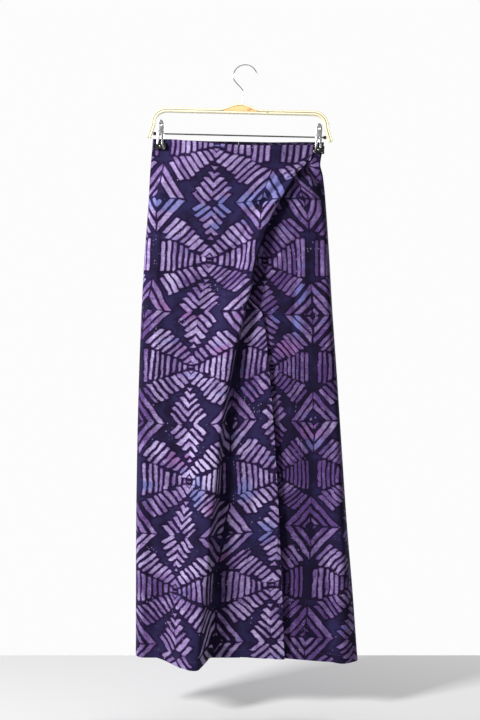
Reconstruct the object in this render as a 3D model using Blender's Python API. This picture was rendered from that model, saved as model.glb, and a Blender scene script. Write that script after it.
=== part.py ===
"""Batik wrap pants, hung flat from a bentwood hanger with two clips.

Metres, +Z up. The front faces -Y and +X is the right hand side of someone looking at the front. The origin
is the inside top of the hanger's hook. Lengths are written in millimetres and turned to metres when a mesh is
made.

The cloth is worked out in horizontal sections. A section's drop is its distance below the waist line.
"""
import math
from bisect import bisect_right
from collections import namedtuple

import bmesh
import bpy
from mathutils import Matrix, Vector

MM = 0.001

# Cloth
WALL = 1.2
SEAM = 0.4
STACK = WALL + SEAM
LENGTH = 1053.0
WAIST_Z = -153.5
WAIST_SLOPE = -0.0175
WAIST_MIDDLE = -14.0
RISE = 290.0
CROTCH_CURVE = 42.0
INSEAM_GAP = 5.0
SIDE_ROUND = 18.0
INSEAM_ROUND = 14.0
PINCH_X = 130.5
PINCH_DROP = 50.0

# Down to PRESSED_TO the clips press the layers flat, and over the next OPEN_OVER the sides come round
PRESSED_TO = 88.0
OPEN_OVER = 60.0

# How far in from a side seam a layer starts to rise, and how far its rise reaches, beside the clips and below
CLIP_CLEAR = 28.0
CLIP_RISE = 84.0
LOOSE_RISE = 34.0
LOOSE_FROM = 18.0
LOOSE_OVER = 70.0

# Room between the wrap and the leg fronts, which starts past the clips' pads
LAYER_EASE = 1.2
EASE_ACROSS = 24.0
EASE_ACROSS_OVER = 20.0
EASE_DROP = 28.0
EASE_DROP_OVER = 26.0

# How far down the waist's slope and sag still show, and how the hem turns up from HEM_FROM down
WAIST_REACH = 260.0
LEGS_PART_OVER = 160.0
TUCK = 1.6
TUCK_REACH = 120.0
HEM_FROM = 900.0
LEG_HEM_LIFT = 4.0
WRAP_HEM_LIFT = 6.0
FOLD_HEM_DROOP = 0.28

# Outline of the whole garment from the front, and how far its two sides stand from the middle plane
Section = namedtuple("Section", "drop left right belly seat")
SECTIONS = [
    Section(0, -188.7, 160.1, 14, 9),
    Section(27, -190.7, 154.0, 15, 10),
    Section(51, -192.8, 150.0, 16, 11),
    Section(76, -194.6, 157.5, 17, 12),
    Section(125, -197.5, 163.6, 18, 13),
    Section(223, -205.0, 170.3, 19, 15),
    Section(333, -211.5, 176.5, 19, 16),
    Section(480, -217.3, 186.7, 18, 16),
    Section(627, -221.0, 196.4, 18, 15),
    Section(774, -223.0, 206.4, 18, 15),
    Section(920, -223.6, 218.6, 19, 15),
    Section(LENGTH, -223.6, 228.5, 20, 15),
]

# How the front of the waist sags between the clips
Sag = namedtuple("Sag", "across fall")
SAGS = [
    Sag(-189, 0), Sag(-160, 0), Sag(-85, 7.5), Sag(-20, 12), Sag(32, 12.5),
    Sag(91, 9), Sag(136, 6.5), Sag(161, 2),
]

# The big fold of the wrap: where its crest runs, how high it stands, how far it reaches to the left, how far
# the cloth turns over at the crest, the radius of that turn and where the free edge ends up
Fold = namedtuple("Fold", "drop crest height reach turn radius edge")
FOLDS = [
    Fold(0, 138.0, 0.0, 30, 0, 2.0, 144.0),
    Fold(24, 132.5, 0.4, 30, 10, 2.0, 138.0),
    Fold(50, 125.6, 5.2, 34, 130, 2.0, 128.0),
    Fold(72, 116.6, 7.0, 40, 150, 2.6, 121.0),
    Fold(94, 107.0, 9.0, 46, 155, 3.2, 113.0),
    Fold(121, 87.8, 11.0, 54, 155, 3.8, 95.0),
    Fold(147, 71.8, 12.8, 62, 155, 4.4, 80.0),
    Fold(178, 55.4, 14.6, 68, 155, 4.8, 64.0),
    Fold(223, 34.6, 17.0, 76, 152, 5.2, 44.0),
    Fold(264, 20.0, 18.6, 82, 146, 5.4, 30.0),
    Fold(294, 11.5, 19.6, 86, 128, 5.4, 24.0),
    Fold(325, 1.6, 20.2, 90, 100, 5.4, 29.0),
    Fold(366, -9.6, 20.8, 94, 82, 5.4, 37.0),
    Fold(417, -23.0, 21.4, 98, 76, 5.4, 43.0),
    Fold(529, -45.0, 23.0, 100, 72, 6.0, 52.6),
    Fold(631, -58.0, 26.0, 100, 70, 6.6, 60.0),
    Fold(774, -73.0, 32.0, 100, 68, 7.6, 67.6),
    Fold(896, -83.5, 40.0, 95, 66, 8.6, 72.6),
    Fold(972, -93.5, 45.0, 91, 66, 9.2, 75.4),
    Fold(LENGTH, -101.0, 50.0, 87, 66, 10.0, 78.6),
]

# A crest turned past CREASED degrees is a roll with its edge under it; one turned less lands on the legs
CREASED = 110.0
CREASED_OVER = 28.0
ROLL_SHARE = 0.28
LEAST_TURN = 0.3
LEAST_FALL = 1.5
EDGE_TAIL = 2.5
FOLD_CLEAR = 0.2

# Pinched pleats that leave the right clip: slant below level, height, width, start and length of each
Pleat = namedtuple("Pleat", "slant height width start length")
PLEATS = [
    Pleat(8, 2.6, 8.0, 8, 74),
    Pleat(25, 3.2, 8.0, 7, 96),
    Pleat(42, 3.0, 7.5, 9, 112),
]
PLEAT_RISE = 14.0
PLEAT_FADE_FROM = 24.0

# Long soft folds, from one end to the other, each fading over RIDGE_FADE of its length at both ends
RIDGE_FADE = 0.3
Ridge = namedtuple("Ridge", "x0 drop0 x1 drop1 height width")
WRAP_RIDGES = [
    Ridge(72.0, 98.0, -32.0, 236.0, 5.0, 20.0),
    Ridge(-64.0, 286.0, -134.0, 378.0, 4.0, 19.0),
    Ridge(-172.0, 120.0, -188.0, 640.0, 3.0, 18.0),
    Ridge(-150.0, 560.0, -176.0, 860.0, 4.0, 22.0),
    Ridge(30.0, 600.0, 46.0, 1500.0, 4.5, 28.0),
]
RIGHT_FRONT_RIDGES = [
    Ridge(118.0, 150.0, 116.0, 420.0, 2.6, 17.0),
    Ridge(164.0, 140.0, 170.0, 470.0, 1.8, 10.0),
    Ridge(128.0, 430.0, 150.0, 980.0, 3.5, 26.0),
    Ridge(188.0, 560.0, 202.0, 1500.0, 12.0, 28.0),
]
LEFT_FRONT_RIDGES = [Ridge(-90.0, 420.0, -96.0, 1053.0, 2.0, 40.0)]
BACK_RIDGES = [
    Ridge(-150.0, 40.0, -60.0, 300.0, 4.0, 26.0),
    Ridge(122.0, 40.0, 44.0, 280.0, 4.5, 24.0),
    Ridge(-166.0, 240.0, -188.0, 1500.0, 8.0, 27.0),
    Ridge(-104.0, 330.0, -122.0, 1500.0, 6.0, 30.0),
    Ridge(-50.0, 430.0, -40.0, 1500.0, 9.0, 25.0),
    Ridge(58.0, 400.0, 52.0, 1500.0, 7.0, 26.0),
    Ridge(126.0, 300.0, 146.0, 1500.0, 9.0, 29.0),
]

# Heights at which the sections are cut
WRAP_DROPS = [
    0, 8, 16, 24, 31, 38, 44, 50, 56, 62, 69, 76, 84, 93, 103, 113, 124, 136, 149, 163, 178, 194, 210, 226,
    243, 260, 276, 291, 305, 320, 338, 360, 390, 428, 474, 526, 584, 644, 706, 768, 828, 886, 944, 1000,
    LENGTH,
]
LEG_DROPS = [
    0, 16, 30, 44, 58, 76, 98, 124, 156, 190, 223, RISE - CROTCH_CURVE, RISE - 26, RISE - 12, RISE - 3, RISE,
    RISE + 8, RISE + 36, 390, 480, 570, 670, 774, 870, 965, LENGTH,
]
CLIP_COLUMNS = [29.0, 42.0]
WRAP_COLUMNS = 18
WRAP_GATHER = 1.5
LEG_COLUMNS = 6
FALL_STEPS = 2
TAIL_STEPS = 4
TURN_STEPS = 4
LAND_STEPS = 2

# Hanger, in its own upright frame; it hangs tilted about its hook
TILT = math.radians(1.33)
BOW_MIDDLE = -8.4
BOW_TOP = -90.0
BOW_STRIP = 4.3
BOW_DEPTH = 12.0
BOW_CORNER_X = 149.5
BOW_CORNER_RADIUS = 27.5
BOW_EDGE = 0.9
BOW_FLAT_X = 95.0
CORNER_STEPS = 6
HUMP_STEPS = 7
HUMP_HEIGHT = 11.6
HUMP_REACH = 45.0
WEDGE_DEPTH = 10.6
WEDGE_SHARE = 0.76
WEDGE_STEPS = 12
HOOK_WIRE = 1.3
HOOK_RADIUS = 24.5
HOOK_STEM_X = -5.0
HOOK_NECK = (-3.4, -56.0)
NECK_PULL = (0.5, 11.0)
CIRCLE_PULL = (0.0, 13.0)
NECK_STEPS = 9
HOOK_SWEEP = 169.6
HOOK_STEPS = 16
BAR_Z = -143.2
BAR_RADIUS = 1.5
BAR_HALF = 176.4
BAR_END_RADIUS = 3.3
BAR_END_LENGTH = 5.6
CLIP_PLACES = {"left": -161.6, "right": 160.8}
CLIP_SHEET = 1.2
SPRING_RADIUS = 3.4
SPRING_LENGTH = 11.0
PAD_WIDTH = 24.0
PAD_TOP = -18.0
PAD_HEIGHT = 15.0
PAD_THICK = 3.2
PAD_EDGE = 1.0
SEAT = 0.35

# The bow's feet splay below its corners: how far out past the corner's side, and the height
Foot = namedtuple("Foot", "out z")
FEET = [Foot(8.6, -151.5), Foot(5.6, -142.5), Foot(2.6, -133.0), Foot(0.6, -126.0)]

# A clip's sheet jaw: height above the bar, half width, half slot and how far it stands out from there
Jaw = namedtuple("Jaw", "up half slot out")
JAWS = [
    Jaw(27.0, 2.6, 0.9, 4.2), Jaw(25.6, 5.0, 1.7, 4.1), Jaw(22.5, 6.9, 2.3, 3.8), Jaw(17.0, 7.6, 2.6, 3.0),
    Jaw(8.0, 7.6, 2.6, 1.6), Jaw(0.0, 7.6, 2.6, 0.0), Jaw(-7.0, 7.7, 2.6, 1.1), Jaw(-15.0, 8.0, 2.6, 3.1),
    Jaw(-26.0, 8.2, 2.6, 3.1), Jaw(-32.0, 8.8, 2.8, 3.1), Jaw(-36.0, 10.4, 4.0, 3.1),
]
JAW_SLOT_TOP = 0.0

COTTON = ("batik_cotton", (0.10, 0.07, 0.20), 0.85, 0.0)
BENTWOOD = ("bentwood", (0.80, 0.66, 0.44), 0.45, 0.0)
WEDGE_WOOD = ("wedge_wood", (0.72, 0.46, 0.24), 0.5, 0.0)
CHROME = ("chrome_wire", (0.75, 0.75, 0.76), 0.15, 1.0)
STEEL = ("dark_steel", (0.30, 0.30, 0.29), 0.3, 1.0)
RUBBER = ("black_rubber", (0.02, 0.02, 0.02), 0.6, 0.0)


def clear_scene():
    for item in list(bpy.data.objects):
        bpy.data.objects.remove(item, do_unlink=True)


def clamp(value, low=0.0, high=1.0):
    return min(high, max(low, value))


def smooth(value):
    """Ease from 0 to 1."""
    value = clamp(value)
    return value * value * (3 - 2 * value)


def mix(start, end, share):
    return start + (end - start) * share


def bump(distance):
    """1 at no distance, easing to 0 at a distance of 1."""
    return math.cos(0.5 * math.pi * clamp(abs(distance))) ** 2


def read(table, column, place):
    """A table's column at a place, on a curve through its rows that never overshoots them."""
    knots = [row[0] for row in table]
    values = [getattr(row, column) for row in table]
    place = clamp(place, knots[0], knots[-1])
    i = min(bisect_right(knots, place), len(knots) - 1)
    steps = [(values[k + 1] - values[k]) / (knots[k + 1] - knots[k]) for k in range(len(knots) - 1)]

    def slope(k):
        if k == 0 or k == len(knots) - 1:
            return steps[0] if k == 0 else steps[-1]
        before, after = steps[k - 1], steps[k]
        return 0.0 if before * after <= 0 else 2 * before * after / (before + after)

    width = knots[i] - knots[i - 1]
    t = (place - knots[i - 1]) / width
    return (
        values[i - 1] * (1 + 2 * t) * (1 - t) ** 2
        + values[i] * t * t * (3 - 2 * t)
        + slope(i - 1) * width * t * (1 - t) ** 2
        - slope(i) * width * t * t * (1 - t)
    )


def opened(drop):
    """0 where the clips press the layers flat, 1 where the sides have come round."""
    return smooth((drop - PRESSED_TO) / OPEN_OVER)


def side_shape(distance, drop):
    """0 at a side seam, rising to 1 where a layer runs level, for a distance in from the seam."""
    loosened = smooth((drop - LOOSE_FROM) / LOOSE_OVER)
    start = mix(CLIP_CLEAR, 0, loosened)
    reach = mix(mix(CLIP_RISE, LOOSE_RISE, loosened), SIDE_ROUND, opened(drop))
    u = clamp((distance - start) / reach)
    return mix(smooth(u), math.sqrt(1 - (1 - u) ** 2), opened(drop))


def both_sides(x, drop, inset=0.0):
    """The side shape seen from the nearer of the two side seams."""
    to_left = x - (read(SECTIONS, "left", drop) + inset)
    to_right = read(SECTIONS, "right", drop) - x
    return min(side_shape(to_left, drop), side_shape(to_right, drop))


def leg_middle(drop):
    """Where the centre seams run, between the side seams."""
    return mix(WAIST_MIDDLE, 2.5, drop / LENGTH)


def centre_share(x, drop):
    """1 away from the crotch; over it and below it, falls to 0 at the inner edge of each leg."""
    down = clamp((drop - (RISE - CROTCH_CURVE)) / CROTCH_CURVE)
    kept = math.sqrt(1 - down**2)
    inwards = clamp((abs(x - leg_middle(drop)) - inner_gap(drop)) / INSEAM_ROUND)
    return kept + (1 - kept) * math.sqrt(1 - (1 - inwards) ** 2)


def inner_gap(drop):
    """Half of the space between the two legs."""
    return SEAM / 2 + (INSEAM_GAP - SEAM / 2) * smooth((drop - RISE) / LEGS_PART_OVER)


def ridges(rows, x, drop):
    """Sum of the soft folds listed in a table, each fading at both of its ends."""
    total = 0.0
    for row in rows:
        along_x, along_drop = row.x1 - row.x0, row.drop1 - row.drop0
        length = math.hypot(along_x, along_drop)
        share = ((x - row.x0) * along_x + (drop - row.drop0) * along_drop) / length**2
        aside = abs((x - row.x0) * along_drop - (drop - row.drop0) * along_x) / length
        fade = smooth(share / RIDGE_FADE) * smooth((1 - share) / RIDGE_FADE)
        total += row.height * fade * bump(aside / row.width)
    return total


def pleats(x, drop):
    """The pinched pleats that spread from the right clip."""
    left, down = PINCH_X - x, drop - PINCH_DROP
    away = math.hypot(left, down)
    if away < 1.0:
        return 0.0
    slant = math.degrees(math.atan2(down, left))
    total = 0.0
    for row in PLEATS:
        fade = smooth((away - row.start) / PLEAT_RISE)
        fade *= 1 - smooth((away - PLEAT_FADE_FROM) / (row.length - PLEAT_FADE_FROM))
        total += row.height * fade * bump((slant - row.slant) / row.width)
    return total


def waist_fall(x, drop, sag):
    """How far a point lies below the level of its section, from the waist's slope and sag."""
    tied = 1 - smooth(drop / WAIST_REACH)
    return -WAIST_SLOPE * (x - WAIST_MIDDLE) * tied + sag * read(SAGS, "fall", x) * tied


def leg_depth(x, drop, side, inset):
    """How far a leg's front or back stands out from the middle plane."""
    column = "belly" if side < 0 else "seat"
    shape = both_sides(x, drop, inset)
    flat = SEAM / 2 + (1 - opened(drop)) * WALL
    folds = BACK_RIDGES
    if side < 0:
        folds = RIGHT_FRONT_RIDGES if x > leg_middle(drop) else LEFT_FRONT_RIDGES
    stands_off = read(SECTIONS, column, drop) + ridges(folds, x, drop)
    return flat + stands_off * shape * centre_share(x, drop)


def wrap_depth(x, drop):
    """How far the wrap stands out where it lies on the legs' fronts."""
    shape = both_sides(x, drop)
    come_round = opened(drop)
    to_left, to_right = x - read(SECTIONS, "left", drop), read(SECTIONS, "right", drop) - x
    spare = smooth((min(to_left, to_right) - EASE_ACROSS) / EASE_ACROSS_OVER)
    loose = max(spare, smooth((drop - EASE_DROP) / EASE_DROP_OVER))
    flat = SEAM / 2 + (1 - come_round) * (WALL + STACK + loose)
    return flat + (read(SECTIONS, "belly", drop) + come_round * (STACK + LAYER_EASE)) * shape


def wrap_lift(x, drop):
    """How far the wrap's folds left of the crest stand off its lying place."""
    fold = read(FOLDS, "height", drop) * bump((read(FOLDS, "crest", drop) - x) / read(FOLDS, "reach", drop))
    return fold + (pleats(x, drop) + ridges(WRAP_RIDGES, x, drop)) * both_sides(x, drop)


def side_places(round_reach):
    """Distances in from a seam that follow a rounded side evenly."""
    return [round_reach * (1 - math.cos(math.radians(angle))) for angle in (0, 30, 60, 90)]


def wrap_section(drop):
    """The wrap's outer points at one drop, from the left seam over the crest and down to the free edge."""
    left, crest = read(SECTIONS, "left", drop), read(FOLDS, "crest", drop)
    points = []
    start = left + CLIP_COLUMNS[-1]
    across = [left + place for place in side_places(SIDE_ROUND) + CLIP_COLUMNS[:-1]]
    shares = [(1 - k / WRAP_COLUMNS) ** WRAP_GATHER for k in range(WRAP_COLUMNS + 1)]
    across += [crest - (crest - start) * share for share in shares]
    for x in across:
        points.append(Vector((x, -(wrap_depth(x, drop) + wrap_lift(x, drop)))))
    return points + turned_over(points[-1], drop)


def turned_over(crest, drop):
    """The rest of the wrap's section: over the crest, down its far side and out to the free edge."""
    height, radius = read(FOLDS, "height", drop), read(FOLDS, "radius", drop)
    turn = math.radians(read(FOLDS, "turn", drop))
    lands = smooth((CREASED - math.degrees(turn)) / CREASED_OVER)
    fall = (height - 2 * radius * (1 - math.cos(turn))) / max(math.sin(turn), 0.2)
    straight = mix(ROLL_SHARE * height, max(fall, LEAST_FALL), lands)
    place, heading = crest.copy(), 0.0
    points = []

    def go(length, bend, steps):
        nonlocal place, heading
        for _ in range(steps):
            heading += bend / steps / 2
            place = place + Vector((math.cos(heading), math.sin(heading))) * (length / steps)
            heading += bend / steps / 2
            lowest = -(wrap_depth(place.x, drop) + FOLD_CLEAR)
            points.append(Vector((place.x, min(place.y, lowest))))

    go(radius * max(turn, LEAST_TURN), turn, TURN_STEPS)
    go(straight, 0.0, FALL_STEPS)
    go(radius * max(turn * lands, LEAST_TURN), -turn * lands, LAND_STEPS)
    tail = mix(EDGE_TAIL, max(read(FOLDS, "edge", drop) - place.x, EDGE_TAIL), lands)
    go(tail, 0.0, TAIL_STEPS)
    return points


def leg_section(drop, outer, side):
    """A leg panel's outer points at one drop, from its side seam to its inner edge."""
    inset = STACK if (outer == "left" and side < 0) else 0.0
    seam = read(SECTIONS, outer, drop) + inset
    inner = leg_middle(drop) + inner_gap(drop) * (-1 if outer == "left" else 1)
    inwards = 1 if outer == "left" else -1
    from_side = side_places(SIDE_ROUND - inset) + CLIP_COLUMNS
    from_inner = side_places(INSEAM_ROUND)
    width = abs(inner - seam)
    level = width - from_side[-1] - from_inner[-1]
    places = from_side + [from_side[-1] + level * k / LEG_COLUMNS for k in range(1, LEG_COLUMNS)]
    places += [width - place for place in reversed(from_inner)]
    points = []
    for place in places:
        x = seam + inwards * place
        points.append(Vector((x, side * leg_depth(x, drop, side, inset))))
    return points


def section_normals(points):
    """Outward directions along a section whose outside is on the right of its path."""
    normals = []
    for i in range(len(points)):
        before, after = points[max(i - 1, 0)], points[min(i + 1, len(points) - 1)]
        along = (after - before).normalized()
        normals.append(Vector((along.y, -along.x)))
    return normals


def material(finish):
    """The Principled material of one finish, made once."""
    name, colour, roughness, metallic = finish
    made = bpy.data.materials.get(name)
    if made is None:
        made = bpy.data.materials.new(name)
        made.use_nodes = True
        shader = made.node_tree.nodes["Principled BSDF"]
        shader.inputs["Base Color"].default_value = (*colour, 1.0)
        shader.inputs["Roughness"].default_value = roughness
        shader.inputs["Metallic"].default_value = metallic
    return made


def mesh_object(name, points, faces, finish, rounded=40):
    """An object from points in millimetres."""
    mesh = bpy.data.meshes.new(name)
    mesh.from_pydata([Vector(point) * MM for point in points], [], faces)
    mesh.materials.append(material(finish))
    if rounded:
        mesh.shade_smooth()
        mesh.set_sharp_from_angle(angle=math.radians(rounded))
    made = bpy.data.objects.new(name, mesh)
    bpy.context.collection.objects.link(made)
    return made


def wall_object(name, rows):
    """A closed wall from rows of (outer point, inner point) pairs."""
    high, wide = len(rows), len(rows[0])
    points = [pair[0] for row in rows for pair in row] + [pair[1] for row in rows for pair in row]
    inner = high * wide
    faces = []
    for i in range(high - 1):
        for j in range(wide - 1):
            a, b = i * wide + j, i * wide + j + 1
            c, d = b + wide, a + wide
            faces.append((a, d, c, b))
            faces.append((inner + a, inner + b, inner + c, inner + d))
    for j in range(wide - 1):
        a, b = j, j + 1
        faces.append((a, b, inner + b, inner + a))
        a, b = a + (high - 1) * wide, b + (high - 1) * wide
        faces.append((a, inner + a, inner + b, b))
    for i in range(high - 1):
        a, d = i * wide, (i + 1) * wide
        faces.append((a, inner + a, inner + d, d))
        b, c = a + wide - 1, d + wide - 1
        faces.append((b, c, inner + c, inner + b))
    return mesh_object(name, points, faces, COTTON)


def panel(name, side, drops, section, height_at):
    """A cloth panel on one side of the middle plane, through its sections, with the wall inside them."""
    rows = []
    for drop in drops:
        outer = section(drop)
        row = []
        for point, normal in zip(outer, section_normals(outer)):
            inside = point - normal * WALL
            inside.y = side * max(side * inside.y, SEAM / 2)
            z = height_at(point, drop)
            row.append((Vector((point.x, point.y, z)), Vector((inside.x, inside.y, z))))
        rows.append(row)
    return wall_object(name, rows)


def make_wrap():
    def height_at(point, drop):
        stands_off = max(0.0, -point.y - wrap_depth(point.x, drop))
        lowest = smooth((drop - HEM_FROM) / (LENGTH - HEM_FROM))
        hem = lowest * (WRAP_HEM_LIFT - FOLD_HEM_DROOP * stands_off)
        return WAIST_Z - drop - waist_fall(point.x, drop, 1.0) + hem

    return panel("front_wrap", -1, WRAP_DROPS, wrap_section, height_at)


def make_leg(outer, side):
    """One leg's front or back. Columns run so that the outside is on their right."""
    front = side < 0
    flip = (outer == "left") != front

    def section(drop):
        points = leg_section(drop, outer, side)
        return list(reversed(points)) if flip else points

    def height_at(point, drop):
        tuck = TUCK * (1 - smooth(drop / TUCK_REACH)) if front and outer == "left" else 0.0
        lift = LEG_HEM_LIFT * smooth((drop - HEM_FROM) / (LENGTH - HEM_FROM))
        return WAIST_Z - drop - waist_fall(point.x, drop, 1.0 if front else 0.0) - tuck + lift

    return panel(f"{outer}_leg_{'front' if front else 'back'}", side, LEG_DROPS, section, height_at)


def hump(x):
    """How far the outer strip rises over the wedge."""
    return HUMP_HEIGHT * bump(x / HUMP_REACH)


def bow_path():
    """The line between the bow's strips, from the left foot to the right, as (x, z) about its middle."""
    level = BOW_TOP - BOW_STRIP - SEAM / 2
    corner_z = level - BOW_CORNER_RADIUS
    side_x = BOW_CORNER_X + BOW_CORNER_RADIUS
    left = [(-side_x - foot.out, foot.z) for foot in FEET]
    for k in range(CORNER_STEPS + 1):
        angle = math.radians(180 - 90 * k / CORNER_STEPS)
        across, up = BOW_CORNER_RADIUS * math.cos(angle), BOW_CORNER_RADIUS * math.sin(angle)
        left.append((across - BOW_CORNER_X, corner_z + up))
    humped = [(HUMP_REACH * k / HUMP_STEPS, level) for k in range(-HUMP_STEPS, HUMP_STEPS + 1)]
    right = [(-x, z) for x, z in reversed(left)]
    return left + [(-BOW_FLAT_X, level)] + humped + [(BOW_FLAT_X, level)] + right


def make_strip(name, offset, humped):
    """One of the bow's two strips, swept along the bow's path with softened edges."""
    path = [Vector(point) for point in bow_path()]
    half, depth = BOW_STRIP / 2, BOW_DEPTH / 2
    near, level = half - BOW_EDGE, depth - BOW_EDGE
    ring = [
        (-half, -level), (-half, level), (-near, depth), (near, depth),
        (half, level), (half, -level), (near, -depth), (-near, -depth),
    ]
    points = []
    for i, place in enumerate(path):
        along = (path[min(i + 1, len(path) - 1)] - path[max(i - 1, 0)]).normalized()
        outwards = Vector((-along.y, along.x))
        rise = hump(place.x) if humped and abs(place.x) <= HUMP_REACH else 0.0
        for out, deep in ring:
            spot = place + outwards * (offset + out) + Vector((0, rise))
            points.append((spot.x + BOW_MIDDLE, deep, spot.y))
    return tube_object(name, points, len(ring), BENTWOOD)


def tube_object(name, points, sides, finish):
    """A closed tube from rings of points, capped at both ends."""
    rings = len(points) // sides
    faces = []
    for i in range(rings - 1):
        for j in range(sides):
            a, b = i * sides + j, i * sides + (j + 1) % sides
            faces.append((a, b, b + sides, a + sides))
    faces.append(tuple(reversed(range(sides))))
    faces.append(tuple(range((rings - 1) * sides, rings * sides)))
    made = mesh_object(name, points, faces, finish)
    point_outwards(made)
    return made


def point_outwards(made):
    """Turn every face of a closed mesh to point out."""
    work = bmesh.new()
    work.from_mesh(made.data)
    bmesh.ops.recalc_face_normals(work, faces=work.faces)
    work.to_mesh(made.data)
    work.free()


def make_wedge():
    """The wooden wedge that fills the hump between the two strips."""
    bottom = BOW_TOP - BOW_STRIP + SEAT - SEAM
    ends = WEDGE_SHARE * HUMP_REACH
    points = []
    for k in range(WEDGE_STEPS + 1):
        x = mix(-ends, ends, k / WEDGE_STEPS)
        top = BOW_TOP - BOW_STRIP + hump(x) - SEAT
        for deep, z in ((-0.5, bottom), (0.5, bottom), (0.5, top), (-0.5, top)):
            points.append((x + BOW_MIDDLE, deep * WEDGE_DEPTH, z))
    return tube_object("bow_wedge", points, 4, WEDGE_WOOD)


def wire_object(name, places, radius, finish):
    """A round wire through places, as a curve with filled caps."""
    curve = bpy.data.curves.new(name, "CURVE")
    curve.dimensions = "3D"
    curve.bevel_depth = radius * MM
    curve.bevel_resolution = 2
    curve.use_fill_caps = True
    spline = curve.splines.new("POLY")
    spline.points.add(len(places) - 1)
    for point, place in zip(spline.points, places):
        point.co = (*(Vector(place) * MM), 1.0)
    curve.materials.append(material(finish))
    made = bpy.data.objects.new(name, curve)
    bpy.context.collection.objects.link(made)
    return made


def blend_curve(start, start_pull, end, end_pull, steps):
    """Points on a curve that leaves one place and reaches another along their pulls."""
    points = []
    for k in range(steps + 1):
        t = k / steps
        points.append(
            start * (1 - t) ** 3 + (start + start_pull) * 3 * t * (1 - t) ** 2
            + (end - end_pull) * 3 * t * t * (1 - t) + end * t**3
        )
    return points


def make_hook():
    """The wire hook: a stem off the bow, a bend and most of a circle whose inside top is the origin."""
    centre = Vector((0.0, -HOOK_RADIUS + HOOK_WIRE))
    foot = Vector((HOOK_STEM_X, BOW_TOP + hump(HOOK_STEM_X - BOW_MIDDLE) + SEAT))
    neck = Vector(HOOK_NECK)
    left = centre + Vector((-HOOK_RADIUS, 0.0))
    path = [foot, mix(foot, neck, 0.5)]
    path += blend_curve(neck, Vector(NECK_PULL), left, Vector(CIRCLE_PULL), NECK_STEPS)
    for k in range(1, HOOK_STEPS + 1):
        angle = math.radians(180 - HOOK_SWEEP * k / HOOK_STEPS)
        path.append(centre + Vector((math.cos(angle), math.sin(angle))) * HOOK_RADIUS)
    return wire_object("hook_wire", [(place.x, 0.0, place.y) for place in path], HOOK_WIRE, CHROME)


def ring_tube(name, x, length, inner, outer, finish, sides=12):
    """A short tube round the bar."""
    points = []
    profile = [(-length / 2, inner), (-length / 2, outer), (length / 2, outer), (length / 2, inner)]
    for across, radius in profile:
        for k in range(sides):
            angle = math.tau * k / sides
            points.append((x + across, radius * math.cos(angle), BAR_Z + radius * math.sin(angle)))
    faces = []
    for i in range(4):
        for j in range(sides):
            a, b = i * sides + j, i * sides + (j + 1) % sides
            c, d = ((i + 1) % 4) * sides + (j + 1) % sides, ((i + 1) % 4) * sides + j
            faces.append((a, b, c, d))
    made = mesh_object(name, points, faces, finish)
    point_outwards(made)
    return made


def make_bar():
    """The steel bar between the bow's feet and the black caps at its ends."""
    ends = [(BOW_MIDDLE - BAR_HALF, 0.0, BAR_Z), (BOW_MIDDLE + BAR_HALF, 0.0, BAR_Z)]
    made = [wire_object("cross_bar", ends, BAR_RADIUS, STEEL)]
    for name, side in (("left", -1), ("right", 1)):
        x = BOW_MIDDLE + side * (BAR_HALF - BAR_END_LENGTH / 2)
        inner, outer = BAR_RADIUS + SEAT, BAR_END_RADIUS
        made.append(ring_tube(f"bar_end_{name}", x, BAR_END_LENGTH, inner, outer, RUBBER))
    return made


def make_jaw(name, x, side, rest):
    """A clip's sheet jaw, slotted below the bar, whose inner face rests a seat off its pad."""
    middle = SPRING_RADIUS + SEAT + CLIP_SHEET / 2
    points, faces = [], []
    lowest = max(row.out for row in JAWS if row.up < PAD_TOP)
    for row in JAWS:
        out = middle + row.out * ((rest - middle) / lowest if row.up < 0 else 1.0)
        for across in (-row.half, -row.slot, row.slot, row.half):
            points.append((x + across, side * out, BAR_Z + row.up))
    for i in range(len(JAWS) - 1):
        for j in range(3):
            if j == 1 and JAWS[i].up <= JAW_SLOT_TOP:
                continue
            a = i * 4 + j
            faces.append((a, a + 1, a + 5, a + 4))
    made = mesh_object(name, points, faces, CHROME)
    sheet = made.modifiers.new("sheet", "SOLIDIFY")
    sheet.thickness = CLIP_SHEET * MM
    sheet.offset = 0.0
    return made


def make_pad(name, x, near, side):
    """A rubber pad with rounded corners, from its face on the cloth outwards."""
    box = bmesh.new()
    bmesh.ops.create_cube(box, size=1.0)
    far = near + PAD_THICK
    for vert in box.verts:
        vert.co = Vector((
            (x + vert.co.x * PAD_WIDTH) * MM,
            side * (near + far) / 2 * MM + vert.co.y * PAD_THICK * MM,
            (BAR_Z + PAD_TOP - PAD_HEIGHT / 2 + vert.co.z * PAD_HEIGHT) * MM,
        ))
    mesh = bpy.data.meshes.new(name)
    box.to_mesh(mesh)
    box.free()
    mesh.materials.append(material(RUBBER))
    made = bpy.data.objects.new(name, mesh)
    bpy.context.collection.objects.link(made)
    edges = made.modifiers.new("soft_edges", "BEVEL")
    edges.width = PAD_EDGE * MM
    edges.segments = 2
    return made


def make_clip(name, place):
    """A clip shut on the cloth: two sheet jaws on a spring round the bar, and two rubber pads."""
    x = BOW_MIDDLE + place
    front_face = SEAM / 2 + WALL + STACK + SEAT
    back_face = SEAM / 2 + WALL + SEAT
    made = [ring_tube(f"clip_{name}_spring", x, SPRING_LENGTH, BAR_RADIUS + SEAT, SPRING_RADIUS, CHROME)]
    for word, side, face in (("front", -1, front_face), ("back", 1, back_face)):
        rest = face + PAD_THICK + SEAT + CLIP_SHEET / 2
        made.append(make_pad(f"clip_{name}_{word}_pad", x, face, side))
        made.append(make_jaw(f"clip_{name}_{word}_jaw", x, side, rest))
    return made


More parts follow.
